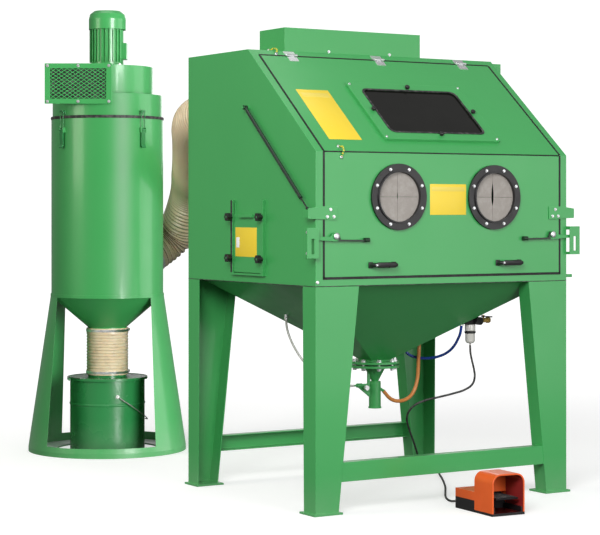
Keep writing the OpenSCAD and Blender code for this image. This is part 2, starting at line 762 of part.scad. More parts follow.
// The right-hand latch: a bar under its pivot, a knob inboard, a tongue behind the keeper's lip.
module latch_lever() translate([latch_x, latch_y, latch_z]) rotate([90, 0, 0]) difference() {
    union() {
        translate([0, 0, -3]) linear_extrude(6) polygon([
            [-150, -22], [-150, -15], [-22, -13], [-14, 10], [14, 10], [26, -2], [tongue, -2], [tongue, -14],
            [0, -20]
        ]);
        translate([0, 0, -5]) cylinder(10, 14, 14);
        translate([-156, -16, 0]) rotate([0, 90, 0]) cylinder(22, 9, 9);
    }
    translate([0, 0, -6]) cylinder(12, 6 + play, 6 + play);
}

module latch_right() color(green) latch_lever();
module latch_left() color(green) mirror([1, 0, 0]) latch_lever();

strut_v = strut_low - strut_top;
strut_len = norm(strut_v);
strut_dip = atan2(-strut_v[1], -strut_v[0]);   // below the horizontal, towards the front
tube_end = 570;
tube_r = 7.5;
rod_r = 3;

// X runs from the upper pivot of the gas spring to its lower end.
module on_strut() translate([-strut_x, strut_top[0], strut_top[1]]) rotate([0, 0, -90])
    rotate([0, strut_dip, 0]) children();

module strut_tube() on_strut() difference() {
    union() {
        rotate([90, 0, 0]) translate([0, 0, -8]) cylinder(16, 9, 9);
        translate([6, 0, 0]) rotate([0, 90, 0]) cylinder(24, 6, 6);
        translate([28, 0, 0]) rotate([0, 90, 0]) cylinder(tube_end - 28, tube_r, tube_r);
    }
    rotate([90, 0, 0]) translate([0, 0, -12]) cylinder(24, strut_pin_r + play, strut_pin_r + play);
    translate([250, 0, 0]) rotate([0, 90, 0]) cylinder(tube_end, rod_r + play, rod_r + play);
}

module strut_rod() on_strut() {
    translate([300, 0, 0]) rotate([0, 90, 0]) cylinder(strut_len - 312, rod_r, rod_r);
    translate([strut_len - 34, 0, 0]) rotate([0, 90, 0]) cylinder(26, 6.5, 6.5);
    translate([strut_len, 0, 0]) rotate([90, 0, 0]) translate([0, 0, -7]) cylinder(14, 9, 9);
}

module strut_tubes() color(black) both_sides() strut_tube();
module strut_rods() color(steel) both_sides() strut_rod();

// ---- dust collector ------------------------------------------------------------------------
col_turn = -32;                                // the outlet faces front left
cone_low = 606;
neck_r = 97;
neck_low = 570;
drum_r = 224;
fan_top = 1890;
lid_low = 1640;
lid_high = 1750;
motor_r = 80;
shaft_r = 12;

module at_collector() translate([col_x, col_y, 0]) rotate([0, 0, col_turn]) children();

// The inlet pipe slopes down into the back of the drum from the right, close to the drum's wall.
inlet_at = [221, 165, 905];                    // where its axis meets the drum
inlet_tilt = 60;
inlet_out = 150;
module inlet_axis() translate([col_x, col_y, 0] + inlet_at) rotate([0, inlet_tilt, 0]) children();

module collector_body() color(green) difference() {
    union() {
        for (a = toggle_at) toggle_bracket(a);
        translate([col_x, col_y, 0]) rotate_extrude($fn = 96) polygon([
            [neck_r, neck_low], [neck_r, cone_low], [col_r, col_low], [col_r, col_top],
            [col_r - 3, col_top], [col_r - 3, col_low + 2], [neck_r - 3, cone_low + 2], [neck_r - 3, neck_low]
        ]);
        difference() {
            inlet_axis() translate([0, 0, -220]) cylinder(220 + inlet_out, duct_r - 1, duct_r - 1);
            translate([col_x, col_y, cone_low]) cylinder(col_top - cone_low, col_r - 2, col_r - 2);
        }
    }
    inlet_axis() translate([0, 0, -240]) cylinder(241 + inlet_out, duct_r - 4, duct_r - 4);
}

module collector_skirt() color(green) at_collector() {
    low_r = skirt_r - 1;
    top_z = col_low - 3;
    difference() {
        rotate_extrude($fn = 96) polygon([
            [low_r, 0], [low_r, 22], [col_r + 1, top_z], [col_r + 1, top_z + 16], [col_r + 4, top_z + 16],
            [col_r + 4, top_z], [low_r + 3, 22], [low_r + 3, 0]
        ]);
        for (side = [-1, 1]) along_y(side > 0 ? 0 : -500, side > 0 ? 500 : 0)
            polygon([[-262, 46], [262, 46], [228, top_z], [-228, top_z]]);
    }
    difference() {
        cylinder(6, low_r, low_r, $fn = 96);
        translate([0, 0, -1]) cylinder(8, 250, 250, $fn = 96);
    }
}

module filter_cartridge() color("wheat") translate([col_x, col_y, 0]) {
    translate([0, 0, 1100]) ring(100, 165, 500);
    translate([0, 0, 1600]) ring(80, col_r - 3.5, 5);
    translate([0, 0, 1095]) cylinder(5, 165, 165);
}

box_c = [-111, 1793];                          // centre of the outlet flange: X and Z
box_half = [161, 97];
box_y = -290;
outlet_step = -185;                            // in front of this the outlet is deeper

// The outlet's rectangular duct from the flange back to Y = y1, with its floor at z0, shrunk by t.
module outlet_box(t, y1, z0)
    block(box_c[0] - 138 + t, box_c[0] + 138 - t, box_y - (t > 0 ? 1 : 0), y1 - t, z0 + t, box_c[1] + 76 - t);

module collector_lid() color(green) at_collector() {
    difference() {
        union() {
            difference() {
                translate([0, 0, lid_low]) cylinder(lid_high - lid_low, 270, 270, $fn = 96);
                translate([0, 0, lid_low - 1]) cylinder(lid_high - lid_low - 2, 267, 267, $fn = 96);
            }
            translate([0, 0, lid_high]) cylinder(fan_top - lid_high, drum_r, drum_r, $fn = 96);
            outlet_box(0, 0, lid_high + 2);
            outlet_box(0, outlet_step, box_c[1] - 76);
            block(box_c[0] - box_half[0], box_c[0] + box_half[0], box_y, box_y + 4,
                  box_c[1] - box_half[1], box_c[1] + box_half[1]);
        }
        translate([0, 0, lid_high - 4]) cylinder(20, 120, 120);
        translate([0, 0, lid_high + 3]) cylinder(fan_top - lid_high - 6, drum_r - 3, drum_r - 3);
        outlet_box(3, 0, lid_high + 2);
        outlet_box(3, outlet_step, box_c[1] - 76);
        translate([0, 0, fan_top - 5]) cylinder(7, 60, 60);
    }
}

motor_low = fan_top;
motor_high = 2077;
cowl_high = 2169;

module fan_motor() color(green) at_collector() difference() {
    union() {
        translate([0, 0, motor_low]) cylinder(10, 105, 105);
        translate([0, 0, motor_low + 10]) cylinder(motor_high - motor_low - 10, motor_r, motor_r);
        block(30, 98, -36, 36, motor_low + 40, motor_low + 120);
        cowl_solid(0);
    }
    translate([0, 0, motor_low - 1]) cylinder(200, shaft_r + play, shaft_r + play);
    cowl_solid(3);
    translate([0, 0, cowl_high - 5]) cylinder(6, 55, 55);
}

// The cowl over the motor's own fan, shrunk by t; its top is open for air.
module cowl_solid(t) translate([0, 0, motor_high])
    rotate_extrude() polygon([
        [0, 0], [92 - t, 0], [92 - t, 52], [86 - t, 76], [66 - t, 92 - t], [0, 92 - t]
    ]);

module fan_impeller() color(steel) at_collector() {
    translate([0, 0, 1790]) cylinder(motor_high + 50 - 1790, shaft_r, shaft_r);
    translate([0, 0, motor_high + 20]) cylinder(12, 66, 66);
    translate([0, 0, 1780]) cylinder(4, 170, 170);
    translate([0, 0, 1836]) ring(90, 170, 3);
    for (k = [0 : 9]) rotate([0, 0, 36 * k]) block(60, 168, -2, 2, 1784, 1836);
    translate([0, 0, 1784]) cylinder(52, 30, 30);
}

toggle_at = [-135, -47, 85];
toggle_pivot_z = 1572;
toggle_pin = 286;

// The lever of a toggle clip hangs down from its pin and swings out and up.
module toggle(angle) at_collector() rotate([0, 0, angle])
    translate([toggle_pin, 0, toggle_pivot_z]) difference() {
        union() {
            along_y(-12, 12) polygon([[-4, 0], [-4, -72], [4, -86], [8, -84], [1, -70], [4, 0]]);
            translate([0, 12, 0]) rotate([90, 0, 0]) cylinder(24, 7, 7);
        }
        translate([0, 14, 0]) rotate([90, 0, 0]) cylinder(28, 3 + play, 3 + play);
    }

module toggle_left() color(dark_green) toggle(toggle_at[0]);
module toggle_right() color(dark_green) toggle(toggle_at[1]);
module toggle_rear() color(dark_green) toggle(toggle_at[2]);

module dust_sleeve() color("wheat") translate([col_x, col_y, 372]) ring(neck_r + 1, neck_r + 7, 230);

// Band clamps on the sleeve and the duct, and the sockets that the hoses plug into.
module hose_fittings() color(steel) {
    translate([col_x, col_y, 0]) for (z = [378, 584]) {
        translate([0, 0, z]) ring(neck_r + 7.1, neck_r + 9, 12);
        translate([neck_r + 9, -12, z]) cube([12, 24, 12]);
    }
    translate([duct_x, back_y + 60, duct_z]) rotate([90, 0, 0]) {
        translate([0, 0, 20]) ring(duct_r + 4.1, duct_r + 6, 12);
        translate([duct_r + 5, -12, 20]) cube([12, 24, 12]);
    }
    inlet_axis() translate([0, 0, inlet_out - 32]) {
        ring(duct_r + 4.1, duct_r + 6, 12);
        translate([duct_r + 5, -12, 0]) cube([12, 24, 12]);
    }
    translate(air_path[0]) cylinder(hopper_under(air_path[0][0]) - air_path[0][2] + 2, 9, 9);
    translate(siphon_end) cylinder(hopper_under(siphon_end[0]) - siphon_end[2] + 2, 11, 11);
    translate(metering_path[0]) cylinder(hopper_under(-metering_path[0][0]) - metering_path[0][2] + 2, 9, 9);
    translate(air_end) cylinder(24, 9, 9);
    translate(air_end + [0, 0, 18]) rotate([0, 90, 0]) cylinder(reg[0] - 34 - air_end[0], 7, 7);
}

// Two ears and a pin that carry a toggle's lever.
module toggle_bracket(angle) at_collector() rotate([0, 0, angle]) {
    for (side = [-1, 1])
        block(col_r - 1.5, toggle_pin + 5, side * 15.5 - 2, side * 15.5 + 2,
              toggle_pivot_z - 12, toggle_pivot_z + 12);
    translate([toggle_pin, 17, toggle_pivot_z]) rotate([90, 0, 0]) cylinder(34, 3, 3);
}

buck_r = 184;
buck_z = [3, 352];

module dust_bucket() color(green) at_collector() {
    rotate_extrude($fn = 96) polygon([
        [0, buck_z[0]], [buck_r, buck_z[0]], [buck_r, 225], [buck_r + 3, 229], [buck_r + 3, 234],
        [buck_r, 238], [buck_r, buck_z[1]], [buck_r + 8, buck_z[1]], [buck_r + 8, buck_z[1] + 4],
        [buck_r - 2, buck_z[1] + 4], [buck_r - 2, buck_z[0] + 2], [0, buck_z[0] + 2]
    ]);
    rotate([0, 0, bail_turn]) for (side = [-1, 1]) translate([side * buck_r, 0, bail_z]) rotate([0, side * 90, 0])
        translate([0, 0, -1]) {
            cylinder(4, 16, 16);
            cylinder(10, 3, 3);
        }
    for (a = [0 : 120 : 240]) rotate([0, 0, a]) translate([150, 0, 0]) cylinder(3.5, 14, 14);
}

bail_turn = -69;
bail_z = 275;
bail_reach = 236;
bail_half = 191;
bail_drop = -34;
bail_wire = 2.5;

// Wire bail: an arc through both ears, hanging down until it meets the bucket.
module bucket_bail() color(steel) at_collector() rotate([0, 0, bail_turn]) {
    arc_r = (bail_half * bail_half + bail_reach * bail_reach) / (2 * bail_reach);
    arc_c = bail_reach - arc_r;
    start = -asin(arc_c / arc_r);
    translate([0, 0, bail_z]) rotate([bail_drop, 0, 0]) {
        translate([0, arc_c, 0]) rotate([0, 0, start + 3])
            rotate_extrude(angle = 174 - 2 * start) translate([arc_r, 0]) circle(bail_wire, $fn = 16);
        for (side = [-1, 1]) translate([side * (bail_half - 1), 0, 0]) rotate([0, 90, 0])
            translate([0, 0, -2.5]) ring(3 + play, 8, 5);
    }
}

ring_r = 196;

module bucket_lid() color(green) at_collector() {
    difference() {
        translate([0, 0, buck_z[1] + 4]) cylinder(4, buck_r + 8, buck_r + 8, $fn = 96);
        translate([0, 0, buck_z[1] + 3]) cylinder(6, neck_r - 3, neck_r - 3);
    }
    translate([0, 0, buck_z[1] + 8]) ring(neck_r - 3, neck_r, 36);
    translate([0, 0, buck_z[1] - 2]) ring(buck_r + 8.2, ring_r + 2, 12);
    rotate([0, 0, ring_at]) translate([ring_r + 1, -10, buck_z[1]]) difference() {
        cube([14, 20, 8]);
        translate([8, 10, -1]) cylinder(10, 3, 3);
    }
    rotate([0, 0, ring_at]) translate([ring_r + 9, 0, buck_z[1] - 6]) cylinder(20, 3, 3);
}

ring_at = -150;

module ring_lever() color(steel) at_collector() rotate([0, 0, ring_at])
    translate([ring_r + 9, 0, buck_z[1] + 10.5]) difference() {
        union() {
            cylinder(4, 8, 8);
            rotate([0, 0, 14]) block(-4, 4, 5, 92, 0, 4);
        }
        translate([0, 0, -1]) cylinder(6, 3 + play, 3 + play);
    }

// ---- hoses: points along each centreline, chosen by hand ------------------------------------
duct_path = [
    [-380, 530, 1620], [-380, 640, 1620], [-380, 740, 1617], [-373, 840, 1608], [-352, 945, 1590],
    [-307, 1050, 1560], [-245, 1160, 1520], [-175, 1290, 1470], [-104, 1425, 1415], [-42, 1550, 1360],
    [5, 1640, 1315], [38, 1715, 1266], [54, 1774, 1210], [64, 1828, 1156], [69, 1879, 1107],
    [55, 1916, 1065], [20, 1938, 1024], [-35, 1945, 985.3], [-83, 1945, 957.5]
];
siphon_path = [
    [44, 0, 411], [56, 0, 398], [72, 0, 382], [94, 0, 369], [122, 0, 363], [154, 0, 366],
    [184, 0, 380], [206, 0, 406], [220, 0, 444], [226, 0, 490], [228, 0, 530], [230, 0, 570],
    [232, 0, 610], [232, 0, 640]
];
air_path = [
    [185, 60, 628], [186, 59, 608], [190, 56, 586], [200, 50, 566], [216, 40, 552], [238, 26, 544],
    [260, 4, 541], [280, -26, 544], [296, -64, 554], [305, -106, 572], [306, -150, 600],
    [299, -190, 634], [290, -220, 664], [288, -230, 694]
];
metering_path = [
    [-352, 150, 722], [-351, 150, 700], [-346, 148, 672], [-334, 142, 634], [-314, 132, 590],
    [-288, 118, 546], [-256, 98, 506], [-220, 72, 474], [-184, 44, 452], [-150, 18, 442],
    [-124, 2, 440], [-108, 0, 440]
];
siphon_end = siphon_path[len(siphon_path) - 1];
air_end = air_path[len(air_path) - 1];
pedal_path = [
    [334, -230, 610], [337, -229, 575], [348, -226, 540], [362, -220, 505], [372, -212, 470],
    [366, -204, 440], [336, -194, 418], [284, -178, 402], [222, -158, 388], [168, -132, 374],
    [135, -100, 352], [130, -66, 322], [150, -24, 290], [190, 26, 255], [240, 80, 215],
    [295, 136, 170], [350, 190, 120], [400, 240, 70], [445, 278, 28], [480, 300, 8], [510, 300, 5],
    [525, 275, 5], [505, 235, 5], [450, 150, 5], [390, 50, 5], [320, -60, 5], [240, -180, 5],
    [160, -290, 5], [92, -384, 5], [52, -450, 5], [28, -510, 7], [19, -560, 14], [16, -603, 18]
];

module dust_duct() color("wheat") tube(duct_path, duct_r + 4, 12);
module siphon_hose() color("orange") tube(siphon_path, 8, 10);
module air_hose() color("royalblue") tube(air_path, 6, 10);
module metering_hose() color("gainsboro") tube(metering_path, 5, 10);
module pedal_hose() color(black) tube(pedal_path, 4.5, 8);

side_walls();
roof_and_back();
door_frame();
hood_seal();
hopper();
front_stand();
rear_stand();
light_box();
work_grate();
blast_gun();
intake_box();
latch_keepers();
hinge_leaves();
frame_bolts();
hatch_knobs();
media_valve();
regulator_body();
regulator_bowl();
ball_valve_body();
pedal_base();
pedal_guard();
collector_body();
collector_skirt();
filter_cartridge();
dust_sleeve();
hose_fittings();
dust_bucket();
bucket_lid();
dust_duct();
siphon_hose();
air_hose();
metering_hose();
pedal_hose();
window_lid();
front_panel();
window_frame();
window_glass();
port_rings();
arm_membranes();
hood_bolts();
pull_handles();
strut_brackets();
hinge_flaps();
side_hatch();
latch_left();
latch_right();
strut_tubes();
strut_rods();
metering_screw();
regulator_knob();
ball_valve_lever();
pedal_treadle();
collector_lid();
fan_motor();
fan_impeller();
toggle_left();
toggle_right();
toggle_rear();
bucket_bail();
ring_lever();
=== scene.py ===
"""Looks of the sandblast cabinet: camera, hoses, materials and the pieces that the CAD model leaves out."""

import json
from math import atan2, cos, pi, radians, sin, tau

import bmesh
import bpy
from mathutils import Matrix, Vector

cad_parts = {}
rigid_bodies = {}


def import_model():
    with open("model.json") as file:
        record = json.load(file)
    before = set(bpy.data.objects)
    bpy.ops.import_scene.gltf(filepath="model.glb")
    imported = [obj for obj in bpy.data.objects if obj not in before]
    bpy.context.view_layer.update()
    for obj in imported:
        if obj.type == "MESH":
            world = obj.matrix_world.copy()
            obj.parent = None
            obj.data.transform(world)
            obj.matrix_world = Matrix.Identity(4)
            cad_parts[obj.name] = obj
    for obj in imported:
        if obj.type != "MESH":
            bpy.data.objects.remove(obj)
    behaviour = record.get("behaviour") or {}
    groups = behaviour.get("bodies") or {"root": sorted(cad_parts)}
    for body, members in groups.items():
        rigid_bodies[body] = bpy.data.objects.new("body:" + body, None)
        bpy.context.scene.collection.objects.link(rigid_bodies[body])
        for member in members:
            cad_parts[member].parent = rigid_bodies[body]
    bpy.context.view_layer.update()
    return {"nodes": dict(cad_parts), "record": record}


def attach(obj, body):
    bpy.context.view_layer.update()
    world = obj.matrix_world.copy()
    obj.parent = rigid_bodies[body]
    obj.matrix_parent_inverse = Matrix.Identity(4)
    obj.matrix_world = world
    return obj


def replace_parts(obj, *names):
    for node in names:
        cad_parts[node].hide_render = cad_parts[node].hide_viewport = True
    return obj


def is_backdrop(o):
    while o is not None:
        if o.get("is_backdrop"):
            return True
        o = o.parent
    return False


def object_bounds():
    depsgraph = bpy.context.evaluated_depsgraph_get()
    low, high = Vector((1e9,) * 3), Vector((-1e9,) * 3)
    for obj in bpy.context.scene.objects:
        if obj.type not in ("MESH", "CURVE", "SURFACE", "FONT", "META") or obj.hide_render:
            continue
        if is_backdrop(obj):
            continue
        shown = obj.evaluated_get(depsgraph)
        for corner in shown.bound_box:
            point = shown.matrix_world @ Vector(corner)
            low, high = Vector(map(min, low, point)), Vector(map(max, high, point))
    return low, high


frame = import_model()
nodes = frame["nodes"]

# The scene is in metres. The pieces are drawn in millimetres, as the CAD model is.
MM = 0.001
CAMERA_AT = (-4.542, -6.708, 1.191)
CAMERA_TURN = radians(31.84)                   # from straight at the cabinet's front, to the right
ROOM = 24.0                                    # radius of the backdrop
CABINET_BACK = 1.4                             # what stands behind this Y is the collector's
COLLECTOR_MIDDLE = (-0.4, 1.78, 1.4)


# ---- camera, light and floor -----------------------------------------------------------------

def add_camera():
    """Level camera to the front left of the cabinet, at the height of the arm ports."""
    data = bpy.data.cameras.new("camera")
    data.sensor_width = 36.0
    data.lens = 113.7
    data.shift_y = -0.098
    data.clip_end = 60.0
    camera = bpy.data.objects.new("camera", data)
    camera.location = CAMERA_AT
    camera.rotation_euler = (pi / 2, 0.0, -CAMERA_TURN)
    bpy.context.collection.objects.link(camera)
    bpy.context.scene.camera = camera


def add_area_light(name, place, target, size, power, colour=(1.0, 1.0, 1.0)):
    """Softbox that faces the target and isn't seen itself."""
    data = bpy.data.lights.new(name, "AREA")
    data.shape = "RECTANGLE"
    data.size, data.size_y = size
    data.energy = power
    data.color = colour
    lamp = bpy.data.objects.new(name, data)
    lamp.location = place
    lamp.visible_camera = False
    lamp.rotation_euler = (Vector(target) - Vector(place)).to_track_quat("-Z", "Y").to_euler()
    bpy.context.collection.objects.link(lamp)
    return lamp


def add_lights():
    """Large softboxes: the key from the front left, weaker ones from the other sides."""
    add_area_light("key", (-5.0, -5.0, 4.0), (0.0, 0.2, 1.0), (3.2, 2.6), 420.0)
    add_area_light("front_fill", (0.2, -6.8, 2.0), (0.2, 0.0, 0.9), (2.6, 2.6), 190.0)
    add_area_light("sheen", (3.7, -5.6, 1.3), (0.0, -0.5, 1.1), (3.0, 3.0), 46.0)
    add_area_light("left_fill", (-6.0, 1.4, 2.6), (-0.4, 0.8, 1.2), (2.5, 2.5), 105.0, (1.0, 1.0, 0.82))
    add_area_light("top", (-0.5, 1.2, 5.6), (-0.2, 0.8, 0.5), (4.0, 4.0), 60.0)
    add_area_light("back_fill", (3.5, 6.0, 3.0), (0.0, 0.5, 1.0), (3.0, 3.0), 50.0)


def light_collector():
    """The collector has softboxes of its own, as if the cabinet didn't stand in their way."""
    collector = bpy.data.collections.new("collector")
    others = bpy.data.collections.new("others")
    for thing in bpy.data.objects:
        if thing.type in {"MESH", "CURVE"}:
            corners = [Vector(corner) for corner in thing.bound_box]
            middle = sum(corners, Vector()) / len(corners)
            group = collector if middle.y > CABINET_BACK else others
            group.objects.link(thing)
    front = add_area_light("collector_front", (0.1, -4.2, 1.4), COLLECTOR_MIDDLE, (2.1, 3.4), 380.0)
    side = add_area_light("collector_side", (4.0, -0.9, 1.4), COLLECTOR_MIDDLE, (3.2, 3.4), 85.0)
    for softbox in (front, side):
        softbox.light_linking.receiver_collection = collector
        softbox.light_linking.blocker_collection = collector
    bpy.data.objects["key"].light_linking.receiver_collection = others


def add_world():
    """Soft light from every side, weaker from below the horizon."""
    world = bpy.data.worlds.new("studio")
    world.use_nodes = True
    tree = world.node_tree
    split = tree.nodes.new("ShaderNodeSeparateXYZ")
    tree.links.new(tree.nodes.new("ShaderNodeTexCoord").outputs["Generated"], split.inputs["Vector"])
    level = tree.nodes.new("ShaderNodeMapRange")
    for name, number in (("From Min", -0.3), ("From Max", 0.3), ("To Min", 0.12), ("To Max", 0.32)):
        level.inputs[name].default_value = number
    tree.links.new(split.outputs["Z"], level.inputs["Value"])
    back = tree.nodes["Background"]
    back.inputs["Color"].default_value = (1.0, 1.0, 1.0, 1.0)
    tree.links.new(level.outputs["Result"], back.inputs["Strength"])
    bpy.context.scene.world = world
    bpy.context.scene.view_settings.view_transform = "Standard"


def only_for_camera(stage):
    """The stage is seen, but throws neither light nor reflections on the object."""
    stage.visible_diffuse = False
    stage.visible_glossy = False
    stage.visible_transmission = False
    stage.visible_shadow = False
    stage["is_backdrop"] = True


def add_backdrop():
    """White wall all round, seen by the camera only."""
    turn = 48
    ring = [(ROOM * cos(tau * k / turn), ROOM * sin(tau * k / turn)) for k in range(turn)]
    points = [(x, y, z) for z in (-1.0, 14.0) for x, y in ring]
    faces = [(k, (k + 1) % turn, turn + (k + 1) % turn, turn + k) for k in range(turn)]
    wall = mesh_object("backdrop", points, faces)
    wall.data.materials.append(glowing("backdrop", 0.6, 0.95, 0.95))
    only_for_camera(wall)


def add_floor():
    """White floor just under the object, which takes its soft shadows."""
    corners = [(-ROOM, -ROOM, 0), (ROOM, -ROOM, 0), (ROOM, ROOM, 0), (-ROOM, ROOM, 0)]
    floor = mesh_object("floor", corners, [(0, 1, 2, 3)])
    floor.location.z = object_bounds()[0].z - 0.0005
    floor.data.materials.append(glowing("floor", 0.60, 0.50, 0.95))
    only_for_camera(floor)


# ---- node trees ------------------------------------------------------------------------------

class Tree:
    """A material's node tree, with short calls for the nodes that the materials share."""

    def __init__(self, name):
        self.material = bpy.data.materials.new(name)
        self.material.use_nodes = True
        self.nodes = self.material.node_tree.nodes
        self.links = self.material.node_tree.links
        self.shader = self.nodes["Principled BSDF"]
        self.place = self.nodes.new("ShaderNodeTexCoord").outputs["Object"]

    def put(self, value, socket):
        """Links another node's output to the socket, or sets it to a plain value."""
        if isinstance(value, bpy.types.NodeSocket):
            self.links.new(value, socket)
        else:
            socket.default_value = value

    def set(self, **values):
        """Shader inputs by name, with _ for each space."""
        for name, value in values.items():
            self.put(value, self.shader.inputs[name.replace("_", " ")])

    def noise(self, scale, detail=3.0, roughness=0.5, vector=None):
        node = self.nodes.new("ShaderNodeTexNoise")
        node.inputs["Scale"].default_value = scale
        node.inputs["Detail"].default_value = detail
        node.inputs["Roughness"].default_value = roughness
        self.links.new(vector or self.place, node.inputs["Vector"])
        return node.outputs["Fac"]

    def stretch(self, scale):
        node = self.nodes.new("ShaderNodeMapping")
        node.inputs["Scale"].default_value = scale
        self.links.new(self.place, node.inputs["Vector"])
        return node.outputs["Vector"]

    def ramp(self, value, low, high, out_low=0.0, out_high=1.0):
        """Maps low..high to out_low..out_high, and holds the ends."""
        node = self.nodes.new("ShaderNodeMapRange")
        numbers = {"From Min": low, "From Max": high, "To Min": out_low, "To Max": out_high}
        for name, number in numbers.items():
            node.inputs[name].default_value = number
        self.links.new(value, node.inputs["Value"])
        return node.outputs["Result"]

    def maths(self, operation, a, b=0.0):
        node = self.nodes.new("ShaderNodeMath")
        node.operation = operation
        node.use_clamp = True
        self.put(a, node.inputs[0])
        self.put(b, node.inputs[1])
        return node.outputs[0]

    def mix(self, amount, a, b):
        """Colour between a and b. Inputs 6 and 7 and output 2 are the node's colour ones."""
        node = self.nodes.new("ShaderNodeMix")
        node.data_type = "RGBA"
        self.put(amount, node.inputs["Factor"])
        for value, socket in ((a, node.inputs[6]), (b, node.inputs[7])):
            self.put(value if isinstance(value, bpy.types.NodeSocket) else (*value, 1.0), socket)
        return node.outputs[2]

    def height(self):
        node = self.nodes.new("ShaderNodeSeparateXYZ")
        self.links.new(self.place, node.inputs["Vector"])
        return node.outputs["Z"]

    def edges(self, radius):
        """Mask that is 1 along convex and concave edges, from how far a bevel turns the normal."""
        bevel = self.nodes.new("ShaderNodeBevel")
        bevel.samples = 6
        bevel.inputs["Radius"].default_value = radius
        dot = self.nodes.new("ShaderNodeVectorMath")
        dot.operation = "DOT_PRODUCT"
        self.links.new(bevel.outputs["Normal"], dot.inputs[0])
        self.links.new(self.nodes.new("ShaderNodeNewGeometry").outputs["True Normal"], dot.inputs[1])
        return self.ramp(dot.outputs["Value"], 0.999, 0.93)

    def bump(self, height, strength, distance, round_edges=0.0):
        node = self.nodes.new("ShaderNodeBump")
        node.inputs["Strength"].default_value = strength
        node.inputs["Distance"].default_value = distance
        self.links.new(height, node.inputs["Height"])
        if round_edges:
            bevel = self.nodes.new("ShaderNodeBevel")
            bevel.samples = 6
            bevel.inputs["Radius"].default_value = round_edges
            self.links.new(bevel.outputs["Normal"], node.inputs["Normal"])
        self.set(Normal=node.outputs["Normal"])


def scaled(colour, factor):
    """A lighter or darker colour, capped at white."""
    return tuple(min(1.0, c * factor) for c in colour)


# ---- materials -------------------------------------------------------------------------------

GREEN = (0.045, 0.33, 0.085)
DARK_GREEN = (0.022, 0.20, 0.055)


def painted(name, colour, roughness=0.36, edge=1.35, peel=0.06):
    """Powder coat: slight mottling, orange peel, edges painted lighter as a painted highlight, a trace of
    dust near the floor.
    """
    t = Tree(name)
    mottled = t.mix(t.noise(1.7, 4.0), scaled(colour, 0.93), scaled(colour, 1.06))
    # every convex and concave edge is painted lighter by the edge factor: a painted highlight
    edge_highlighted = t.mix(t.maths("MULTIPLY", t.edges(0.0035), 0.55), mottled, scaled(colour, edge))
    specks = t.ramp(t.noise(260.0, 2.0), 0.70, 0.78, 0.0, 0.10)
    speckled = t.mix(specks, edge_highlighted, scaled(colour, 0.6))
    dust = t.maths("MULTIPLY", t.ramp(t.height(), 0.16, 0.0, 0.0, 0.22), t.noise(14.0, 5.0, 0.7))
    t.set(Base_Color=t.mix(dust, speckled, (0.42, 0.42, 0.38)))
    t.set(Roughness=t.ramp(t.noise(6.0, 4.0), 0.3, 0.7, roughness - 0.05, roughness + 0.07))
    t.set(Coat_Weight=0.35, Coat_Roughness=0.13)
    t.bump(t.noise(420.0, 2.0), peel, 0.0006, 0.002)
    return t.material


def plated(name, colour=(0.80, 0.81, 0.82), roughness=0.3, grain=(60.0, 60.0, 600.0), metallic=0.85):
    """Bright zinc or polished steel with a fine directional grain and faint stains."""
    t = Tree(name)
    stains = t.ramp(t.noise(45.0, 4.0, 0.6), 0.45, 0.75, 0.0, 0.35)
    t.set(Base_Color=t.mix(stains, colour, scaled(colour, 0.72)), Metallic=metallic)
    lines = t.noise(1.0, 3.0, 0.6, t.stretch(grain))
    t.set(Roughness=t.ramp(lines, 0.3, 0.7, roughness - 0.08, roughness + 0.12))
    t.bump(lines, 0.08, 0.0003, 0.0008)
    return t.material


def moulded(name, colour, roughness=0.45, grain=700.0, relief=0.12):
    """Moulded plastic with a fine eroded grain and lighter rubbed edges."""
    t = Tree(name)
    cloudy = t.mix(t.noise(9.0, 4.0), scaled(colour, 0.85), scaled(colour, 1.12))
    rubbed = t.maths("MULTIPLY", t.edges(0.002), t.ramp(t.noise(55.0, 3.0), 0.4, 0.7, 0.1, 0.5))
    t.set(Base_Color=t.mix(rubbed, cloudy, tuple(c * 1.2 + 0.05 for c in colour)))
    t.set(Roughness=t.ramp(t.noise(30.0, 3.0), 0.3, 0.7, roughness - 0.06, roughness + 0.08))
    t.bump(t.noise(grain, 2.0), relief, 0.0004, 0.0012)
    return t.material


def rubber(name, colour, dust=0.25, roughness=0.7):
    """Matt rubber with dust in its pores."""
    t = Tree(name)
    powder = t.ramp(t.noise(38.0, 5.0, 0.65), 0.45, 0.8, 0.0, dust)
    t.set(Base_Color=t.mix(powder, colour, (0.5, 0.48, 0.45)))
    t.set(Roughness=t.ramp(t.noise(12.0, 3.0), 0.3, 0.7, roughness - 0.1, roughness + 0.12))
    t.bump(t.noise(320.0, 3.0), 0.2, 0.0005)
    return t.material


def extruded(name, colour, roughness=0.25, clear=0.0):
    """Extruded plastic or rubber hose: gloss, faint length-wise marks, a little light through it."""
    t = Tree(name)
    t.set(Base_Color=t.mix(t.noise(25.0, 3.0), scaled(colour, 0.85), scaled(colour, 1.15)))
    t.set(Roughness=t.ramp(t.noise(60.0, 3.0), 0.3, 0.7, roughness - 0.05, roughness + 0.12))
    t.set(Subsurface_Weight=clear, Subsurface_Radius=(0.01, 0.01, 0.01), Subsurface_Scale=0.3)
    t.bump(t.noise(500.0, 2.0), 0.06, 0.0002)
    return t.material


def glazed(name):
    """Dark laminated window glass with a film of blast dust inside."""
    t = Tree(name)
    film = t.ramp(t.noise(7.0, 6.0, 0.7), 0.4, 0.8, 0.0, 0.10)
    t.set(Base_Color=t.mix(film, (0.008, 0.008, 0.007), (0.030, 0.030, 0.027)))
    t.set(Roughness=t.ramp(t.noise(11.0, 5.0, 0.7), 0.35, 0.8, 0.03, 0.22))
    t.set(Specular_IOR_Level=0.22)
    t.bump(t.noise(3.0, 1.0), 0.02, 0.001)
    return t.material


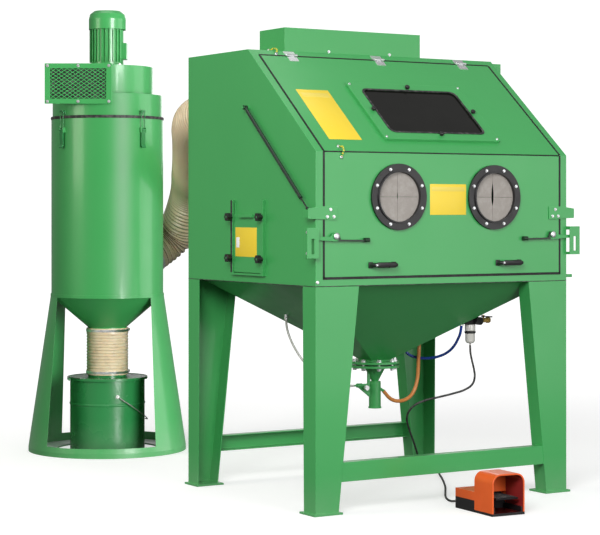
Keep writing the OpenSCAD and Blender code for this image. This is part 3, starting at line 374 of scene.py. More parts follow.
def ribbed_film(name):
    """Smoky polyurethane film of the duct, tan with brown dust and a little light through it."""
    t = Tree(name)
    patchy = t.mix(t.noise(5.0, 5.0, 0.6), (0.60, 0.47, 0.30), (0.78, 0.66, 0.47))
    soot = t.ramp(t.noise(38.0, 4.0, 0.6), 0.5, 0.75, 0.0, 0.35)
    t.set(Base_Color=t.mix(soot, patchy, (0.30, 0.20, 0.11)))
    t.set(Roughness=t.ramp(t.noise(20.0, 3.0), 0.3, 0.7, 0.28, 0.45))
    t.set(Subsurface_Weight=0.25, Subsurface_Radius=(0.02, 0.012, 0.008), Subsurface_Scale=0.5)
    t.set(Coat_Weight=0.25, Coat_Roughness=0.15)
    t.bump(t.noise(90.0, 3.0), 0.10, 0.001)
    return t.material


def felt(name):
    """Needled filter felt, caked with dust."""
    t = Tree(name)
    cake = t.ramp(t.noise(16.0, 6.0, 0.7), 0.4, 0.75, 0.1, 0.7)
    t.set(Base_Color=t.mix(cake, (0.74, 0.68, 0.55), (0.36, 0.32, 0.27)), Roughness=0.95)
    t.set(Sheen_Weight=0.3)
    t.bump(t.noise(500.0, 4.0, 0.8), 0.4, 0.001)
    return t.material


def printed(name, colour, roughness=0.35):
    """Plain printed plate: no lettering, with fine mottling and slightly worn ink."""
    t = Tree(name)
    second_colour_share = t.ramp(t.noise(70.0, 5.0, 0.7), 0.62, 0.8, 0.0, 0.35)
    t.set(Base_Color=t.mix(second_colour_share, colour, tuple(c * 0.6 + 0.3 for c in colour)))
    t.set(Roughness=t.ramp(t.noise(20.0, 2.0), 0.3, 0.7, roughness - 0.05, roughness + 0.1))
    t.bump(t.noise(260.0, 2.0), 0.04, 0.0002)
    return t.material


def striped(name, first, second, pitch):
    """Two-colour insulation of an earth lead, striped along its length."""
    t = Tree(name)
    wave = t.nodes.new("ShaderNodeTexWave")
    wave.wave_type = "BANDS"
    wave.bands_direction = "DIAGONAL"
    wave.inputs["Scale"].default_value = 1.0 / pitch
    t.links.new(t.place, wave.inputs["Vector"])
    t.set(Base_Color=t.mix(t.ramp(wave.outputs["Fac"], 0.45, 0.55), first, second), Roughness=0.4)
    t.bump(t.noise(400.0, 2.0), 0.05, 0.0002)
    return t.material


def lever_paint_with_shade(name):
    """Latch lever: green at its outer end, painted dark along the hand bar as painted shade of the bar's
    shadow line.
    """
    t = Tree(name)
    split = t.nodes.new("ShaderNodeSeparateXYZ")
    t.links.new(t.place, split.inputs["Vector"])
    side = t.nodes.new("ShaderNodeMath")
    side.operation = "ABSOLUTE"
    t.links.new(split.outputs["X"], side.inputs[0])
    outer_end = t.ramp(side.outputs[0], 0.525, 0.535)
    # the dark along the hand bar is painted shade; the outer end and faint random patches stay green
    second_colour_share = t.maths("ADD", outer_end, t.ramp(t.noise(60.0, 3.0), 0.6, 0.9, 0.0, 0.1))
    t.set(Base_Color=t.mix(second_colour_share, (0.010, 0.030, 0.014), GREEN), Roughness=0.34)
    t.bump(t.noise(420.0, 2.0), 0.05, 0.0006, 0.001)
    return t.material


def glowing(name, shade, near_glow, far_glow):
    """Pale studio surface: its glow keeps it white far away, and is weaker near the object's shadows."""
    t = Tree(name)
    away = t.nodes.new("ShaderNodeVectorMath")
    away.operation = "LENGTH"
    t.links.new(t.place, away.inputs[0])
    glow = t.ramp(away.outputs["Value"], 2.0, 9.0, near_glow, far_glow)
    t.set(Base_Color=t.mix(t.noise(0.8, 2.0), scaled((1.0, 1.0, 1.0), shade - 0.01), (shade, shade, shade)))
    t.set(Emission_Color=(1.0, 1.0, 1.0, 1.0), Emission_Strength=glow, Roughness=0.9)
    t.set(Specular_IOR_Level=0.0)
    return t.material


# One material for each slot of the record.
MATERIALS = {
    "green_paint": painted("green_paint", GREEN),
    "green_paint_dark": painted("green_paint_dark", DARK_GREEN, 0.26, 1.5, 0.03),
    "zinc_steel": plated("zinc_steel"),
    "bare_steel": plated("bare_steel", (0.42, 0.41, 0.40), 0.38),
    "brass": plated("brass", (0.86, 0.56, 0.17), 0.24, metallic=0.6),
    "black_plastic": moulded("black_plastic", (0.011, 0.010, 0.011), 0.33),
    "orange_plastic": moulded("orange_plastic", (0.78, 0.115, 0.018), 0.34, 500.0, 0.06),
    "black_rubber": rubber("black_rubber", (0.014, 0.014, 0.015)),
    "grey_rubber": rubber("grey_rubber", (0.29, 0.265, 0.24), 0.35, 0.6),
    "window_glass": glazed("window_glass"),
    "orange_rubber": extruded("orange_rubber", (0.60, 0.22, 0.05), 0.35),
    "blue_plastic": extruded("blue_plastic", (0.012, 0.05, 0.30)),
    "clear_plastic": extruded("clear_plastic", (0.52, 0.52, 0.49), 0.2, 0.4),
    "duct_fabric": ribbed_film("duct_fabric"),
    "filter_felt": felt("filter_felt"),
}

# Finishes of single pieces and nodes.
LABEL_YELLOW = printed("label_yellow", (0.78, 0.57, 0.035))
LABEL_BAND = printed("label_band", (0.72, 0.57, 0.09))
LABEL_PALE = printed("label_pale", (0.82, 0.82, 0.84))
EARTH = striped("earth_insulation", (0.80, 0.62, 0.03), (0.03, 0.28, 0.05), 0.02)
LINING = moulded("pedal_lining", (0.30, 0.022, 0.022), 0.4, 500.0, 0.06)
WIRE = moulded("duct_wire", (0.16, 0.075, 0.04), 0.4)
SLEEVE_FILM = ribbed_film("sleeve_film")
BOWL = moulded("bowl_shell", (0.62, 0.60, 0.57), 0.25, 500.0, 0.04)
GASKET = rubber("gasket", (0.006, 0.006, 0.006), 0.04, 0.6)
GALVANISED = printed("galvanised", (0.60, 0.61, 0.61), 0.4)
LEVER = lever_paint_with_shade("latch_lever")
FINISHES = {
    # the strut tube's edge factor of 2.0 paints its edges lighter green: a painted sheen on the near-black
    # tube
    "strut_tubes": painted("strut_tube", (0.006, 0.022, 0.010), 0.22, 2.0, 0.02),
    "strut_rods": plated("nitrided_rod", (0.06, 0.06, 0.065), 0.25),
    "latch_left": LEVER,
    "latch_right": LEVER,
}


def paint_cad_nodes():
    """Gives every CAD node the material of its slot in the record."""
    for entry in frame["record"]["subparts"]:
        mesh = nodes[entry["node"]].data
        mesh.materials.clear()
        mesh.materials.append(FINISHES.get(entry["node"]) or MATERIALS[entry["material_slot"]])


# ---- mesh helpers ----------------------------------------------------------------------------

def mesh_object(name, points, faces):
    """A bare object in the scene, in the points' own units."""
    mesh = bpy.data.meshes.new(name)
    mesh.from_pydata([tuple(p) for p in points], [], faces)
    mesh.validate()
    made = bpy.data.objects.new(name, mesh)
    bpy.context.collection.objects.link(made)
    return made


def piece(name, points, faces, body, slot, material=None, smooth=True):
    """A finished piece from points in millimetres: outward normals, material (the slot's, unless one is
    given) and body.
    """
    made = mesh_object(name, points, faces)
    mesh = made.data
    mesh.transform(Matrix.Scale(MM, 4))
    shape = bmesh.new()
    shape.from_mesh(mesh)
    bmesh.ops.recalc_face_normals(shape, faces=shape.faces)
    shape.to_mesh(mesh)
    shape.free()
    mesh.materials.append(material or MATERIALS[slot])
    mesh.shade_smooth()
    mesh.set_sharp_from_angle(angle=radians(38 if smooth else 12))
    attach(made, body)
    return made


class Parts:
    """Collects closed shells, in millimetres, that end up as one mesh."""

    def __init__(self):
        self.points = []
        self.faces = []

    def add(self, points, faces, place=None):
        start = len(self.points)
        if place is not None:
            points = [place @ Vector(p) for p in points]
        self.points += [tuple(p) for p in points]
        self.faces += [tuple(start + i for i in face) for face in faces]
        return self

    def block(self, low, high, place=None, bevel=0.0):
        """A box; with a bevel its edges are chamfered."""
        if not bevel:
            across, along, up = zip(low, high)
            corners = [(x, y, z) for z in up for y in along for x in across]
            sides = [(0, 2, 3, 1), (4, 5, 7, 6), (0, 1, 5, 4), (2, 6, 7, 3), (0, 4, 6, 2), (1, 3, 7, 5)]
            return self.add(corners, sides, place)
        shape = bmesh.new()
        bmesh.ops.create_cube(shape, size=1.0)
        middle = (Vector(low) + Vector(high)) / 2
        size = Vector(high) - Vector(low)
        for v in shape.verts:
            v.co = middle + Vector(v.co[i] * size[i] for i in range(3))
        bmesh.ops.bevel(shape, geom=shape.edges[:], offset=bevel, segments=3, profile=0.5, affect="EDGES")
        return self.take(shape, place)

    def take(self, shape, place=None):
        """Adds a bmesh's faces and frees it."""
        shape.verts.index_update()
        points = [v.co.copy() for v in shape.verts]
        faces = [[v.index for v in f.verts] for f in shape.faces]
        shape.free()
        return self.add(points, faces, place)

    def lathe(self, profile, sides=48, place=None, closed=True):
        """Turns (radius, height) points about Z; a closed profile comes back to its start."""
        turns = [(cos(tau * k / sides), sin(tau * k / sides)) for k in range(sides)]
        points = [(r * c, r * s, z) for c, s in turns for r, z in profile]
        count = len(profile)
        last = count if closed else count - 1
        faces = []
        for k in range(sides):
            a, b = k * count, ((k + 1) % sides) * count
            faces += [(a + i, a + (i + 1) % count, b + (i + 1) % count, b + i) for i in range(last)]
        if not closed:
            faces.append(tuple(k * count for k in range(sides)))
            faces.append(tuple(k * count + count - 1 for k in range(sides)))
        return self.add(points, faces, place)

    def rod(self, start, end, radius, sides=16):
        """A straight round bar between two points."""
        start, end = Vector(start), Vector(end)
        turn = (end - start).to_track_quat("Z", "Y").to_matrix().to_4x4()
        profile = [(radius, 0.0), (radius, (end - start).length)]
        return self.lathe(profile, sides, Matrix.Translation(start) @ turn, closed=False)

    def sweep(self, path, radius, sides=12):
        """A round section along a path; radius is a number or a function of the run length."""
        spots = [Vector(p) for p in path]
        count = len(spots)
        size = radius if callable(radius) else lambda run: radius
        neighbours = zip(spots[:1] + spots[:-1], spots[1:] + spots[-1:])
        along = [(after - before).normalized() for before, after in neighbours]
        turns = [(cos(tau * k / sides), sin(tau * k / sides)) for k in range(sides)]
        up = along[0].orthogonal().normalized()
        run = 0.0
        points = []
        for i in range(count):
            if i:
                up = (along[i - 1].rotation_difference(along[i]) @ up).normalized()
                run += (spots[i] - spots[i - 1]).length
            side = along[i].cross(up)
            r = size(run)
            points += [spots[i] + r * (c * up + s * side) for c, s in turns]
        faces = []
        for i in range(count - 1):
            a, b = i * sides, (i + 1) * sides
            faces += [(a + k, a + (k + 1) % sides, b + (k + 1) % sides, b + k) for k in range(sides)]
        faces.append(tuple(range(sides)))
        faces.append(tuple((count - 1) * sides + k for k in range(sides)))
        return self.add(points, faces)

    def slab(self, outline, low, high, place=None, hole=None):
        """An outline in X-Y between two heights, with an optional hole of the same point count."""
        n = len(outline)
        if hole is None:
            points = [(x, y, z) for z in (low, high) for x, y in outline]
            faces = [tuple(range(n)), tuple(range(n, 2 * n))]
            faces += [(i, (i + 1) % n, n + (i + 1) % n, n + i) for i in range(n)]
            return self.add(points, faces, place)
        loops = [(outline, low), (outline, high), (hole, high), (hole, low)]
        points = [(x, y, z) for loop, z in loops for x, y in loop]
        faces = []
        for k in range(4):
            a, b = k * n, ((k + 1) % 4) * n
            faces += [(a + i, a + (i + 1) % n, b + (i + 1) % n, b + i) for i in range(n)]
        return self.add(points, faces, place)

    def make(self, name, body, slot, material=None, smooth=True):
        return piece(name, self.points, self.faces, body, slot, material, smooth)


def rounded_outline(width, height, radius, steps=6):
    """Rounded rectangle about the origin, counted anticlockwise from its lower right corner."""
    points = []
    for quarter, (sx, sy) in enumerate(((1, -1), (1, 1), (-1, 1), (-1, -1))):
        cx, cy = sx * (width / 2 - radius), sy * (height / 2 - radius)
        for k in range(steps + 1):
            angle = (quarter - 1 + k / steps) * pi / 2
            points.append((cx + radius * cos(angle), cy + radius * sin(angle)))
    return points


def smooth_path(points, step):
    """Catmull-Rom curve through the points, sampled about once every step, in their own units."""
    spots = [Vector(p) for p in points]
    ends = [2 * spots[0] - spots[1], *spots, 2 * spots[-1] - spots[-2]]
    path = []
    for a, b, c, d in zip(ends, ends[1:], ends[2:], ends[3:]):
        count = max(1, round((c - b).length / step))
        for k in range(count):
            t = k / count
            path.append(0.5 * (2 * b + (c - a) * t + (2 * a - 5 * b + 4 * c - d) * t * t
                               + (3 * b - a - 3 * c + d) * t * t * t))
    path.append(spots[-1])
    return path


def path_length(path):
    return sum((b - a).length for a, b in zip(path, path[1:]))


# ---- places of the CAD model, in millimetres --------------------------------------------------

SKIN_Y = -516.0                                # outer face of the hood's front
KNEE_Z = 1415.0                                # where the hood's slope starts
SLOPE = Matrix.Translation((0.0, -515.0, KNEE_Z)) @ Matrix.Rotation(atan2(430.0, 520.0), 4, "X")
WINDOW = SLOPE @ Matrix.Translation((25.0, 262.0, 0.0))
COLLECTOR_AXIS = Matrix.Translation((-395.0, 1780.0, 0.0))
COLLECTOR = COLLECTOR_AXIS @ Matrix.Rotation(-radians(32.0), 4, "Z")
TOGGLE_ANGLES = (-135.0, -47.0, 85.0)
REGULATOR = Matrix.Translation((334.0, -230.0, 714.0))
PEDAL = Matrix.Translation((35.0, -755.0, 0.0)) @ Matrix.Rotation(-radians(4.0), 4, "Z")
PORT_X = 238.0
PORT_Z = 1238.0
FACE_OUT = Matrix.Rotation(pi / 2, 4, "X")     # turns Z towards the operator
DUCT = [
    (-380, 530, 1620), (-380, 640, 1620), (-380, 740, 1617), (-373, 840, 1608), (-352, 945, 1590),
    (-307, 1050, 1560), (-245, 1160, 1520), (-175, 1290, 1470), (-104, 1425, 1415), (-42, 1550, 1360),
    (5, 1640, 1315), (38, 1715, 1266), (54, 1774, 1210), (64, 1828, 1156), (69, 1879, 1107),
    (55, 1916, 1065), (20, 1938, 1024), (-35, 1945, 985.3), (-83, 1945, 957.5)]


def on_front(x, z):
    """Frame whose Z stands out of the hood's front at this place."""
    return Matrix.Translation((x, SKIN_Y, z)) @ FACE_OUT


def turned(angle):
    """The collector's frame, turned further about its axis."""
    return COLLECTOR @ Matrix.Rotation(radians(angle), 4, "Z")


# ---- pieces that the CAD model leaves out, in millimetres ------------------------------------

def screw_head(parts, place, radius):
    """Hexagon head on a washer."""
    parts.lathe([(radius * 1.4, 0.0), (radius * 1.4, radius * 0.3)], 24, place, closed=False)
    head = [(radius, radius * 0.3), (radius, radius), (radius * 0.8, radius * 1.15)]
    parts.lathe(head, 6, place, closed=False)


def add_duct():
    """Ribbed duct, plain where the clamps hold it, with its spiral wire."""
    pitch, low, high, plain = 24.0, 93.0, 103.4, 46.0
    path = smooth_path(DUCT, 2.0)
    total = path_length(path)

    def ribs(run):
        if run < plain or run > total - plain:
            return high
        return low + (high - low) * abs(sin(pi * run / pitch)) ** 0.7

    duct = Parts().sweep(path, ribs, 40).make("ribbed_duct", "root", "duct_fabric")
    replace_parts(duct, "dust_duct")
    wire = Parts()
    section = [(high - 1.5, -3.0), (high + 0.5, 0.0), (high - 1.5, 3.0), (high - 3.5, 0.0)]
    run = 0.0
    next_ring = pitch / 2
    for before, after in zip(path, path[1:]):
        run += (after - before).length
        if run < next_ring:
            continue
        next_ring += pitch
        if plain < run < total - plain:
            turn = (after - before).to_track_quat("Z", "Y").to_matrix().to_4x4()
            wire.lathe(section, 40, Matrix.Translation(after) @ turn)
    wire.make("duct_wire", "root", "duct_fabric", WIRE)


def add_sleeve():
    """Ribbed sleeve between the cone and the bucket's lid."""
    low_z, high_z, pitch, plain = 372.0, 602.0, 15.0, 26.0
    bore, groove, rib, cuff = 98.2, 99.4, 4.4, 103.6
    steps = 90
    outer = []
    for k in range(steps + 1):
        z = low_z + (high_z - low_z) * k / steps
        ribbed = low_z + plain < z < high_z - plain
        outer.append((groove + rib * abs(sin(pi * (z - low_z) / pitch)) if ribbed else cuff, z))
    sleeve = Parts().lathe(outer + [(bore, high_z), (bore, low_z)], 72, COLLECTOR_AXIS)
    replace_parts(sleeve.make("ribbed_sleeve", "root", "duct_fabric", SLEEVE_FILM), "dust_sleeve")


def add_motor_details():
    """Cooling fins, foot bolts, the cowl's grille and the lid's gasket band."""
    fins = Parts()
    fin_count, box_half_angle = 28, 30.0
    for k in range(fin_count):
        angle = 360.0 * k / fin_count
        if min(angle, 360.0 - angle) > box_half_angle:
            fins.block((78.0, -2.0, 1915.0), (89.0, 2.0, 2075.0), turned(angle))
    fins.make("motor_fins", "collector_top", "green_paint")
    grille = Parts()
    low, high = 2164.0, 2166.8
    for radius in (15.0, 28.0, 41.0):
        outside, inside = radius + 1.4, radius - 1.4
        grille.lathe([(outside, low), (outside, high), (inside, high), (inside, low)], 40, COLLECTOR)
    for k in range(6):
        grille.block((0.0, -1.5, 2163.5), (56.0, 1.5, 2166.5), turned(60.0 * k))
    grille.make("cowl_grille", "collector_top", "green_paint")
    bolts = Parts()
    for k in range(4):
        screw_head(bolts, turned(45.0 + 90.0 * k) @ Matrix.Translation((96.0, 0.0, 1900.0)), 6.0)
    bolts.make("motor_bolts", "collector_top", "zinc_steel")
    band = [(270.6, 1630.0), (277.6, 1629.0), (279.4, 1636.0), (277.6, 1643.0), (270.6, 1642.0)]
    Parts().lathe(band, 96, COLLECTOR).make("lid_gasket", "root", "black_rubber")


def add_outlet_mesh():
    """Expanded-metal mesh over the fan's outlet, a black sheet behind it as painted shade of the outlet's
    dark inside, and the six bolts of its flange.
    """
    left, right, low, high, y = -246.0, 24.0, 1721.0, 1865.0, -286.0
    pitch, row, strand = 54.0, 18.0, 2.1
    mesh = Parts()
    count = round((right - left) / (pitch / 2))
    columns = [left + (right - left) * i / count for i in range(count + 1)]
    for k in range(round((high - low) / row)):
        z0 = low + row * k
        for way in (0, 1):
            path = [Vector((x, y, z0 + row * ((i + way) % 2))) for i, x in enumerate(columns)]
            for start, end in zip(path, path[1:]):
                mesh.rod(COLLECTOR @ start, COLLECTOR @ end, strand, 6)
    mesh.make("outlet_mesh", "collector_top", "green_paint")
    # black sheet just behind the mesh: painted shade standing in for the dark inside of the outlet
    shade_sheet = Parts().block((left - 2.0, -281.0, low - 2.0), (right + 2.0, -279.0, high + 2.0), COLLECTOR, 0.6)
    shade_sheet.make("outlet_mat", "collector_top", "black_rubber")
    bolts = Parts()
    for dx in (-148.0, 0.0, 148.0):
        for dz in (-86.0, 86.0):
            spot = Matrix.Translation((-111.0 + dx, -290.0, 1793.0 + dz)) @ FACE_OUT
            screw_head(bolts, COLLECTOR @ spot, 5.5)
    bolts.make("outlet_bolts", "collector_top", "zinc_steel")


def add_toggles():
    """Catches on the lid and the wire loops that pull them down."""
    catches = Parts()
    loops = Parts()
    half = [(285.0, -11.0, 1574.0), (283.5, -11.0, 1662.0), (283.5, -7.0, 1665.5)]
    corners = half + [(x, -y, z) for x, y, z in reversed(half)]
    for angle in TOGGLE_ANGLES:
        place = turned(angle)
        catches.block((269.5, -13.0, 1648.0), (274.0, 13.0, 1668.0), place, 0.8)
        catches.block((274.0, -13.0, 1659.0), (289.0, 13.0, 1663.0), place, 0.8)
        catches.block((286.0, -13.0, 1659.0), (289.0, 13.0, 1670.0), place, 0.8)
        loops.sweep([place @ Vector(p) for p in corners], 1.8, 10)
    catches.make("toggle_catches", "collector_top", "green_paint_dark")
    loops.make("toggle_loops", "root", "green_paint_dark")


def add_window_details():
    """Black gasket in the window's opening, four knobs and the frame's corner screws."""
    outer = rounded_outline(482.0, 297.0, 31.0)
    inner = rounded_outline(464.0, 279.0, 26.0)
    gasket = Parts().slab(outer, 12.6, 15.0, WINDOW, inner)
    gasket.make("window_gasket", "hood", "black_rubber")
    knobs = Parts()
    for x, y in ((-252.0, 0.0), (252.0, 0.0), (0.0, -159.0), (0.0, 159.0)):
        place = WINDOW @ Matrix.Translation((x, y, 13.0))
        shape = [(5.0, 0.0), (5.0, 4.0), (9.5, 5.0), (10.0, 8.0), (10.0, 13.0), (8.5, 15.0)]
        knobs.lathe(shape, 24, place, closed=False)
    knobs.make("window_knobs", "hood", "black_plastic")
    screws = Parts()
    for x in (-277.0, 277.0):
        for y in (-177.0, 177.0):
            screw_head(screws, WINDOW @ Matrix.Translation((x, y, 13.0)), 4.0)
    screws.make("window_screws", "hood", "zinc_steel")


def add_plate(name, body, place, size, patches, patch_material):
    """Plain yellow plate centred on place, with patches (x, y, width, height) on it."""
    width, height = size
    Parts().block((-width / 2, -height / 2, 0.05), (width / 2, height / 2, 0.6), place, 0.2).make(
        name, body, "orange_plastic", LABEL_YELLOW)
    pale = Parts()
    for x, y, w, h in patches:
        pale.block((x - w / 2, y - h / 2, 0.5), (x + w / 2, y + h / 2, 0.9), place, 0.15)
    pale.make(name + "_patch", body, "orange_plastic", patch_material)


def add_plates():
    """Plates on the front, the slope and the hatch, with a plain band or patch where print would be."""
    add_plate("plate_front", "hood", on_front(8.0, 1228.0), (180.0, 124.0),
              [(0.0, 42.0, 164.0, 18.0)], LABEL_BAND)
    slope_place = SLOPE @ Matrix.Translation((-448.0, 239.0, 1.0))
    add_plate("plate_slope", "hood", slope_place, (154.0, 328.0),
              [(0.0, 128.0, 130.0, 30.0)], LABEL_BAND)
    hatch_place = Matrix.Translation((-634.0, 4.0, 1054.0)) @ Matrix.Rotation(-pi / 2, 4, "Z") @ FACE_OUT
    add_plate("plate_hatch", "hatch", hatch_place, (173.0, 120.0),
              [(-66.0, -2.0, 26.0, 42.0)], LABEL_PALE)


def add_earth_leads():
    """Striped leads that bridge the painted joints, each with two lugs."""
    lug = [(6.5, -2.8), (6.5, 1.5), (4.5, 1.6), (4.5, 4.5)]
    lug_tilt = Matrix.Rotation(radians(65.0), 4, "X")
    arch, bow = Vector((8.0, -13.0, 13.0)), Vector((3.0, -4.0, 4.0))
    front = on_front(-509.0, 1393.0)
    leads = [
        ("earth_lead_hood", "hood", front @ Vector((0.0, 0.0, 3.0)), SLOPE @ Vector((-509.0, 26.0, 4.0))),
        ("earth_lead_roof", "root", SLOPE @ Vector((-504.0, 646.0, 3.0)), Vector((-504.0, 40.0, 1848.0))),
    ]
    for name, body, start, end in leads:
        middle = (start + end) / 2 + arch
        near, far = start.lerp(middle, 0.6) + bow, end.lerp(middle, 0.6) + bow
        path = smooth_path([start, near, middle, far, end], 2.5)
        Parts().sweep(path, 3.3, 12).make(name, body, "clear_plastic", EARTH)
        lugs = Parts()
        for spot in (start, end):
            lugs.lathe(lug, 12, Matrix.Translation(spot) @ lug_tilt, closed=False)
        lugs.make(name + "_lugs", body, "zinc_steel")


def add_handles():
    """Moulded pull handles with rounded ends and one bright screw."""
    bars = Parts()
    screws = Parts()
    for x in (-315.0, 315.0):
        place = on_front(x, 969.0)
        half = [(-56.0, 0.0, 0.0), (-56.0, 0.0, 14.0), (-51.0, 0.0, 24.0), (-38.0, 0.0, 29.5)]
        path = half + [(-x, y, z) for x, y, z in reversed(half)]
        spots = [place @ p for p in smooth_path(path, 3.0)]
        bars.sweep(spots, 8.0, 18)
        for side in (-1.0, 1.0):
            bars.block((side * 55.0 - 11.0, -12.0, 0.0), (side * 55.0 + 11.0, 12.0, 5.0), place, 2.0)
        bars.block((-44.0, -11.0, 26.0), (44.0, 11.0, 37.0), place, 4.0)
        screw_head(screws, place @ Matrix.Translation((-47.0, 0.0, 33.0)), 4.2)
    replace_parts(bars.make("moulded_handles", "hood", "black_plastic"), "pull_handles")
    screws.make("handle_screws", "hood", "zinc_steel")


def membrane_part(parts, place, centre, way, bulge, reach):
    """A quarter of a membrane: way is its side in X and Y, bulge opens the upright slit."""
    radius = 96.0
    gap = 0.5
    steps = 12
    outline = []
    for k in range(steps + 1):
        y = gap + (radius - gap) * k / steps
        open_by = bulge * max(0.0, 1.0 - (y / reach) ** 2)
        outline.append((centre + way[0] * (gap + open_by), way[1] * y))
    for k in range(1, steps):
        angle = pi / 2 * (1 - k / steps)
        outline.append((way[0] * radius * cos(angle), way[1] * radius * sin(angle)))
    outline.append((way[0] * radius, way[1] * gap))
    parts.slab(outline, 0.2, 2.0, place)


def add_membranes():
    """Slit rubber discs behind the rings: the right one stands a little open."""
    discs = Parts()
    for x, centre, bulge, reach in ((-PORT_X, -4.0, 1.6, 18.0), (PORT_X, -6.0, 5.0, 60.0)):
        place = on_front(x, PORT_Z)
        discs.lathe([(95.5, 0.1), (129.0, 0.1), (129.0, 1.9), (95.5, 1.9)], 96, place)
        for way in ((1, 1), (-1, 1), (-1, -1), (1, -1)):
            membrane_part(discs, place, centre, way, bulge, reach if way[1] > 0 else 0.6 * reach)
    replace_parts(discs.make("slit_membranes", "hood", "grey_rubber", smooth=False), "arm_membranes")


def add_regulator_details():
    """Polished bowl with its dark retaining band, and the cap round the regulator's neck."""
    bowl = [(0.0, -104.0), (4.0, -104.0), (4.0, -97.0), (13.0, -95.5), (19.0, -90.0), (20.8, -83.0),
            (20.8, -43.0), (17.0, -42.2), (17.0, -88.0), (0.0, -92.0)]
    made = Parts().lathe(bowl, 48, REGULATOR).make("bowl", "root", "zinc_steel", BOWL)
    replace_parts(made, "regulator_bowl")
    band = Parts().lathe([(20.9, -54.0), (23.0, -53.0), (23.0, -44.5), (21.6, -43.5)], 48, REGULATOR)
    rib_count = 24
    for k in range(rib_count):
        place = REGULATOR @ Matrix.Rotation(tau * k / rib_count, 4, "Z")
        band.block((22.5, -1.0, -53.0), (24.0, 1.0, -45.0), place)
    band.make("bowl_band", "root", "black_plastic")
    cap = [(21.7, -43.0), (22.6, -42.0), (22.6, -18.0), (21.7, -16.0)]
    Parts().lathe(cap, 48, REGULATOR).make("neck_cap", "root", "zinc_steel", BOWL)


def add_pedal_details():
    """Crimson lining of the guard and the treadle's grip ribs."""
    half, top, corner, sill, thickness, steps = 69.0, 156.0, 32.0, 10.5, 0.8, 12
    loops = []
    for inset in (0.0, thickness):
        width, height, radius = half - inset, top - inset, corner - inset
        loop = [(width, sill), (width, height - radius)]
        for side, start in ((1, 0.0), (-1, pi / 2)):
            for k in range(steps + 1):
                angle = start + pi / 2 * k / steps
                x = side * (width - radius) + radius * cos(angle)
                loop.append((x, height - radius + radius * sin(angle)))
        loop += [(-width, height - radius), (-width, sill)]
        loops.append(loop)
    lining = Parts().slab(loops[0], 11.0, 131.5, PEDAL @ FACE_OUT, loops[1])
    lining.make("guard_lining", "root", "orange_plastic", LINING)
    ribs = Parts()
    pitch = 12.0
    for k in range(10):
        near = pitch * k - 113.0
        ribs.block((-46.0, near, 66.5), (46.0, near + 5.0, 68.8), PEDAL, 0.8)
    ribs.make("treadle_ribs", "pedal_treadle", "black_rubber")


def add_hood_gasket():
    """Rubber lip that fills the gap around the hood, a little below the surface."""
    lip = Parts()
    for side in (-1.0, 1.0):
        for near, far, low, high in ((583.4, 588.8, -9.0, 0.1), (583.4, 592.0, 0.1, 1.7)):
            x0, x1 = sorted((side * near, side * far))
            lip.block((x0, -515.0 - high, 920.0), (x1, -515.0 - low, KNEE_Z - 1.0))
            lip.block((x0, 1.0, low), (x1, 636.0, high), SLOPE)
    lip.block((-588.0, -515.1, 919.2), (588.0, -506.0, 924.6))
    lip.block((-592.0, -516.7, 915.0), (592.0, -515.1, 924.6))
    lip.block((-588.0, 635.6, -9.0), (588.0, 643.0, 0.9), SLOPE)
    lip.make("hood_gasket", "root", "black_rubber", GASKET)
    knee = Parts().block((-582.0, -517.6, 1411.2), (582.0, -508.0, 1416.2), bevel=0.9)
    knee.make("knee_gasket", "hood", "black_rubber", GASKET)


def add_base_plate():
    """Galvanised plate on the collector's base ring."""
    ring = [(252.0, 6.2), (378.0, 6.2), (378.0, 7.4), (252.0, 7.4)]
    Parts().lathe(ring, 96, COLLECTOR).make("base_plate", "root", "zinc_steel", GALVANISED)


def add_cabinet_trim():
    """Pivot bolts of the latches, a black strip in the seam under the sill as painted shade of the seam's
    shadow line, the small tab on the sill and the rail's dark edge.
    """
    pivots = Parts()
    for side in (-1.0, 1.0):
        place = on_front(side * 540.0, 1084.0)
        pivots.lathe([(13.0, 17.0), (13.0, 19.0), (11.0, 20.5), (4.0, 21.0)], 24, place, closed=False)
    pivots.make("latch_pivots", "hood", "zinc_steel")
    # black strip in the seam between the sill and the legs: painted shade standing in for the seam's shadow
    # line
    seam_shade = Parts()
    seam_shade.block((-625.4, -515.6, 887.6), (625.4, -511.0, 890.4))
    seam_shade.block((-625.6, -511.0, 887.6), (-621.0, 515.0, 890.4))
    seam_shade.block((621.0, -511.0, 887.6), (625.6, 515.0, 890.4))
    seam_shade.make("seam_strip", "root", "black_rubber")
    tab = Parts().block((625.0, -506.0, 902.0), (664.0, -502.0, 915.0), bevel=1.0)
    tab.make("sill_tab", "root", "green_paint")
    edge = Parts().block((-640.0, 110.0, 928.0), (-638.8, 123.0, 1226.0), bevel=0.4)
    edge.make("rail_edge", "root", "black_rubber")


# ---- hoses: the same points as in the CAD model, in millimetres --------------------------------

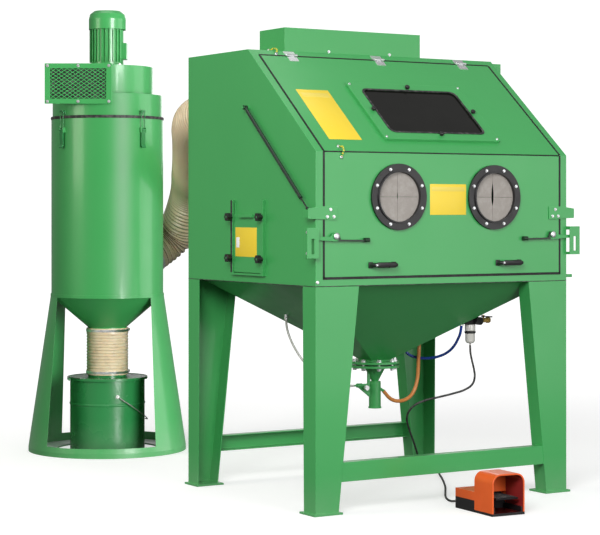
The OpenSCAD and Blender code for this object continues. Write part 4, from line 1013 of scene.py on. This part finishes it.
HOSES = {
    "siphon_hose": (16, "orange_rubber", [
        (44, 0, 411), (56, 0, 398), (72, 0, 382), (94, 0, 369), (122, 0, 363), (154, 0, 366),
        (184, 0, 380), (206, 0, 406), (220, 0, 444), (226, 0, 490), (228, 0, 530), (230, 0, 570),
        (232, 0, 610), (232, 0, 640)]),
    "air_hose": (12, "blue_plastic", [
        (185, 60, 628), (186, 59, 608), (190, 56, 586), (200, 50, 566), (216, 40, 552), (238, 26, 544),
        (260, 4, 541), (280, -26, 544), (296, -64, 554), (305, -106, 572), (306, -150, 600),
        (299, -190, 634), (290, -220, 664), (288, -230, 694)]),
    "metering_hose": (10, "clear_plastic", [
        (-352, 150, 722), (-351, 150, 700), (-346, 148, 672), (-334, 142, 634), (-314, 132, 590),
        (-288, 118, 546), (-256, 98, 506), (-220, 72, 474), (-184, 44, 452), (-150, 18, 442),
        (-124, 2, 440), (-108, 0, 440)]),
    "pedal_hose": (9, "black_rubber", [
        (334, -230, 610), (337, -229, 575), (348, -226, 540), (362, -220, 505), (372, -212, 470),
        (366, -204, 440), (336, -194, 418), (284, -178, 402), (222, -158, 388), (168, -132, 374),
        (135, -100, 352), (130, -66, 322), (150, -24, 290), (190, 26, 255), (240, 80, 215),
        (295, 136, 170), (350, 190, 120), (400, 240, 70), (445, 278, 28), (480, 300, 8), (510, 300, 5),
        (525, 275, 5), (505, 235, 5), (450, 150, 5), (390, 50, 5), (320, -60, 5), (240, -180, 5),
        (160, -290, 5), (92, -384, 5), (52, -450, 5), (28, -510, 7), (19, -560, 14), (16, -603, 18)]),
}


def add_hoses():
    """Each hose is a curve along its route, held at both ends by the object."""
    for name, (diameter, slot, route) in HOSES.items():
        spots = [Vector(p) * MM for p in route]
        data = bpy.data.curves.new(name + "_curve", "CURVE")
        data.dimensions = "3D"
        data.resolution_u = 8
        data.bevel_depth = diameter * MM / 2
        data.bevel_resolution = 5
        data.use_fill_caps = True
        spline = data.splines.new("BEZIER")
        spline.bezier_points.add(len(spots) - 1)
        for point, spot in zip(spline.bezier_points, spots):
            point.co = spot
            point.handle_left_type = point.handle_right_type = "AUTO"
        hose = bpy.data.objects.new(name + "_run", data)
        bpy.context.collection.objects.link(hose)
        data.materials.append(MATERIALS[slot])
        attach(hose, "root")
        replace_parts(hose, name)


# ---- the scene, with the camera and the hoses first ------------------------------------------

add_camera()
add_world()
add_lights()
add_backdrop()
add_floor()
paint_cad_nodes()
add_hoses()
add_duct()
add_sleeve()
add_motor_details()
add_outlet_mesh()
add_toggles()
add_window_details()
add_plates()
add_earth_leads()
add_handles()
add_membranes()
add_regulator_details()
add_pedal_details()
add_hood_gasket()
add_base_plate()
add_cabinet_trim()
light_collector()
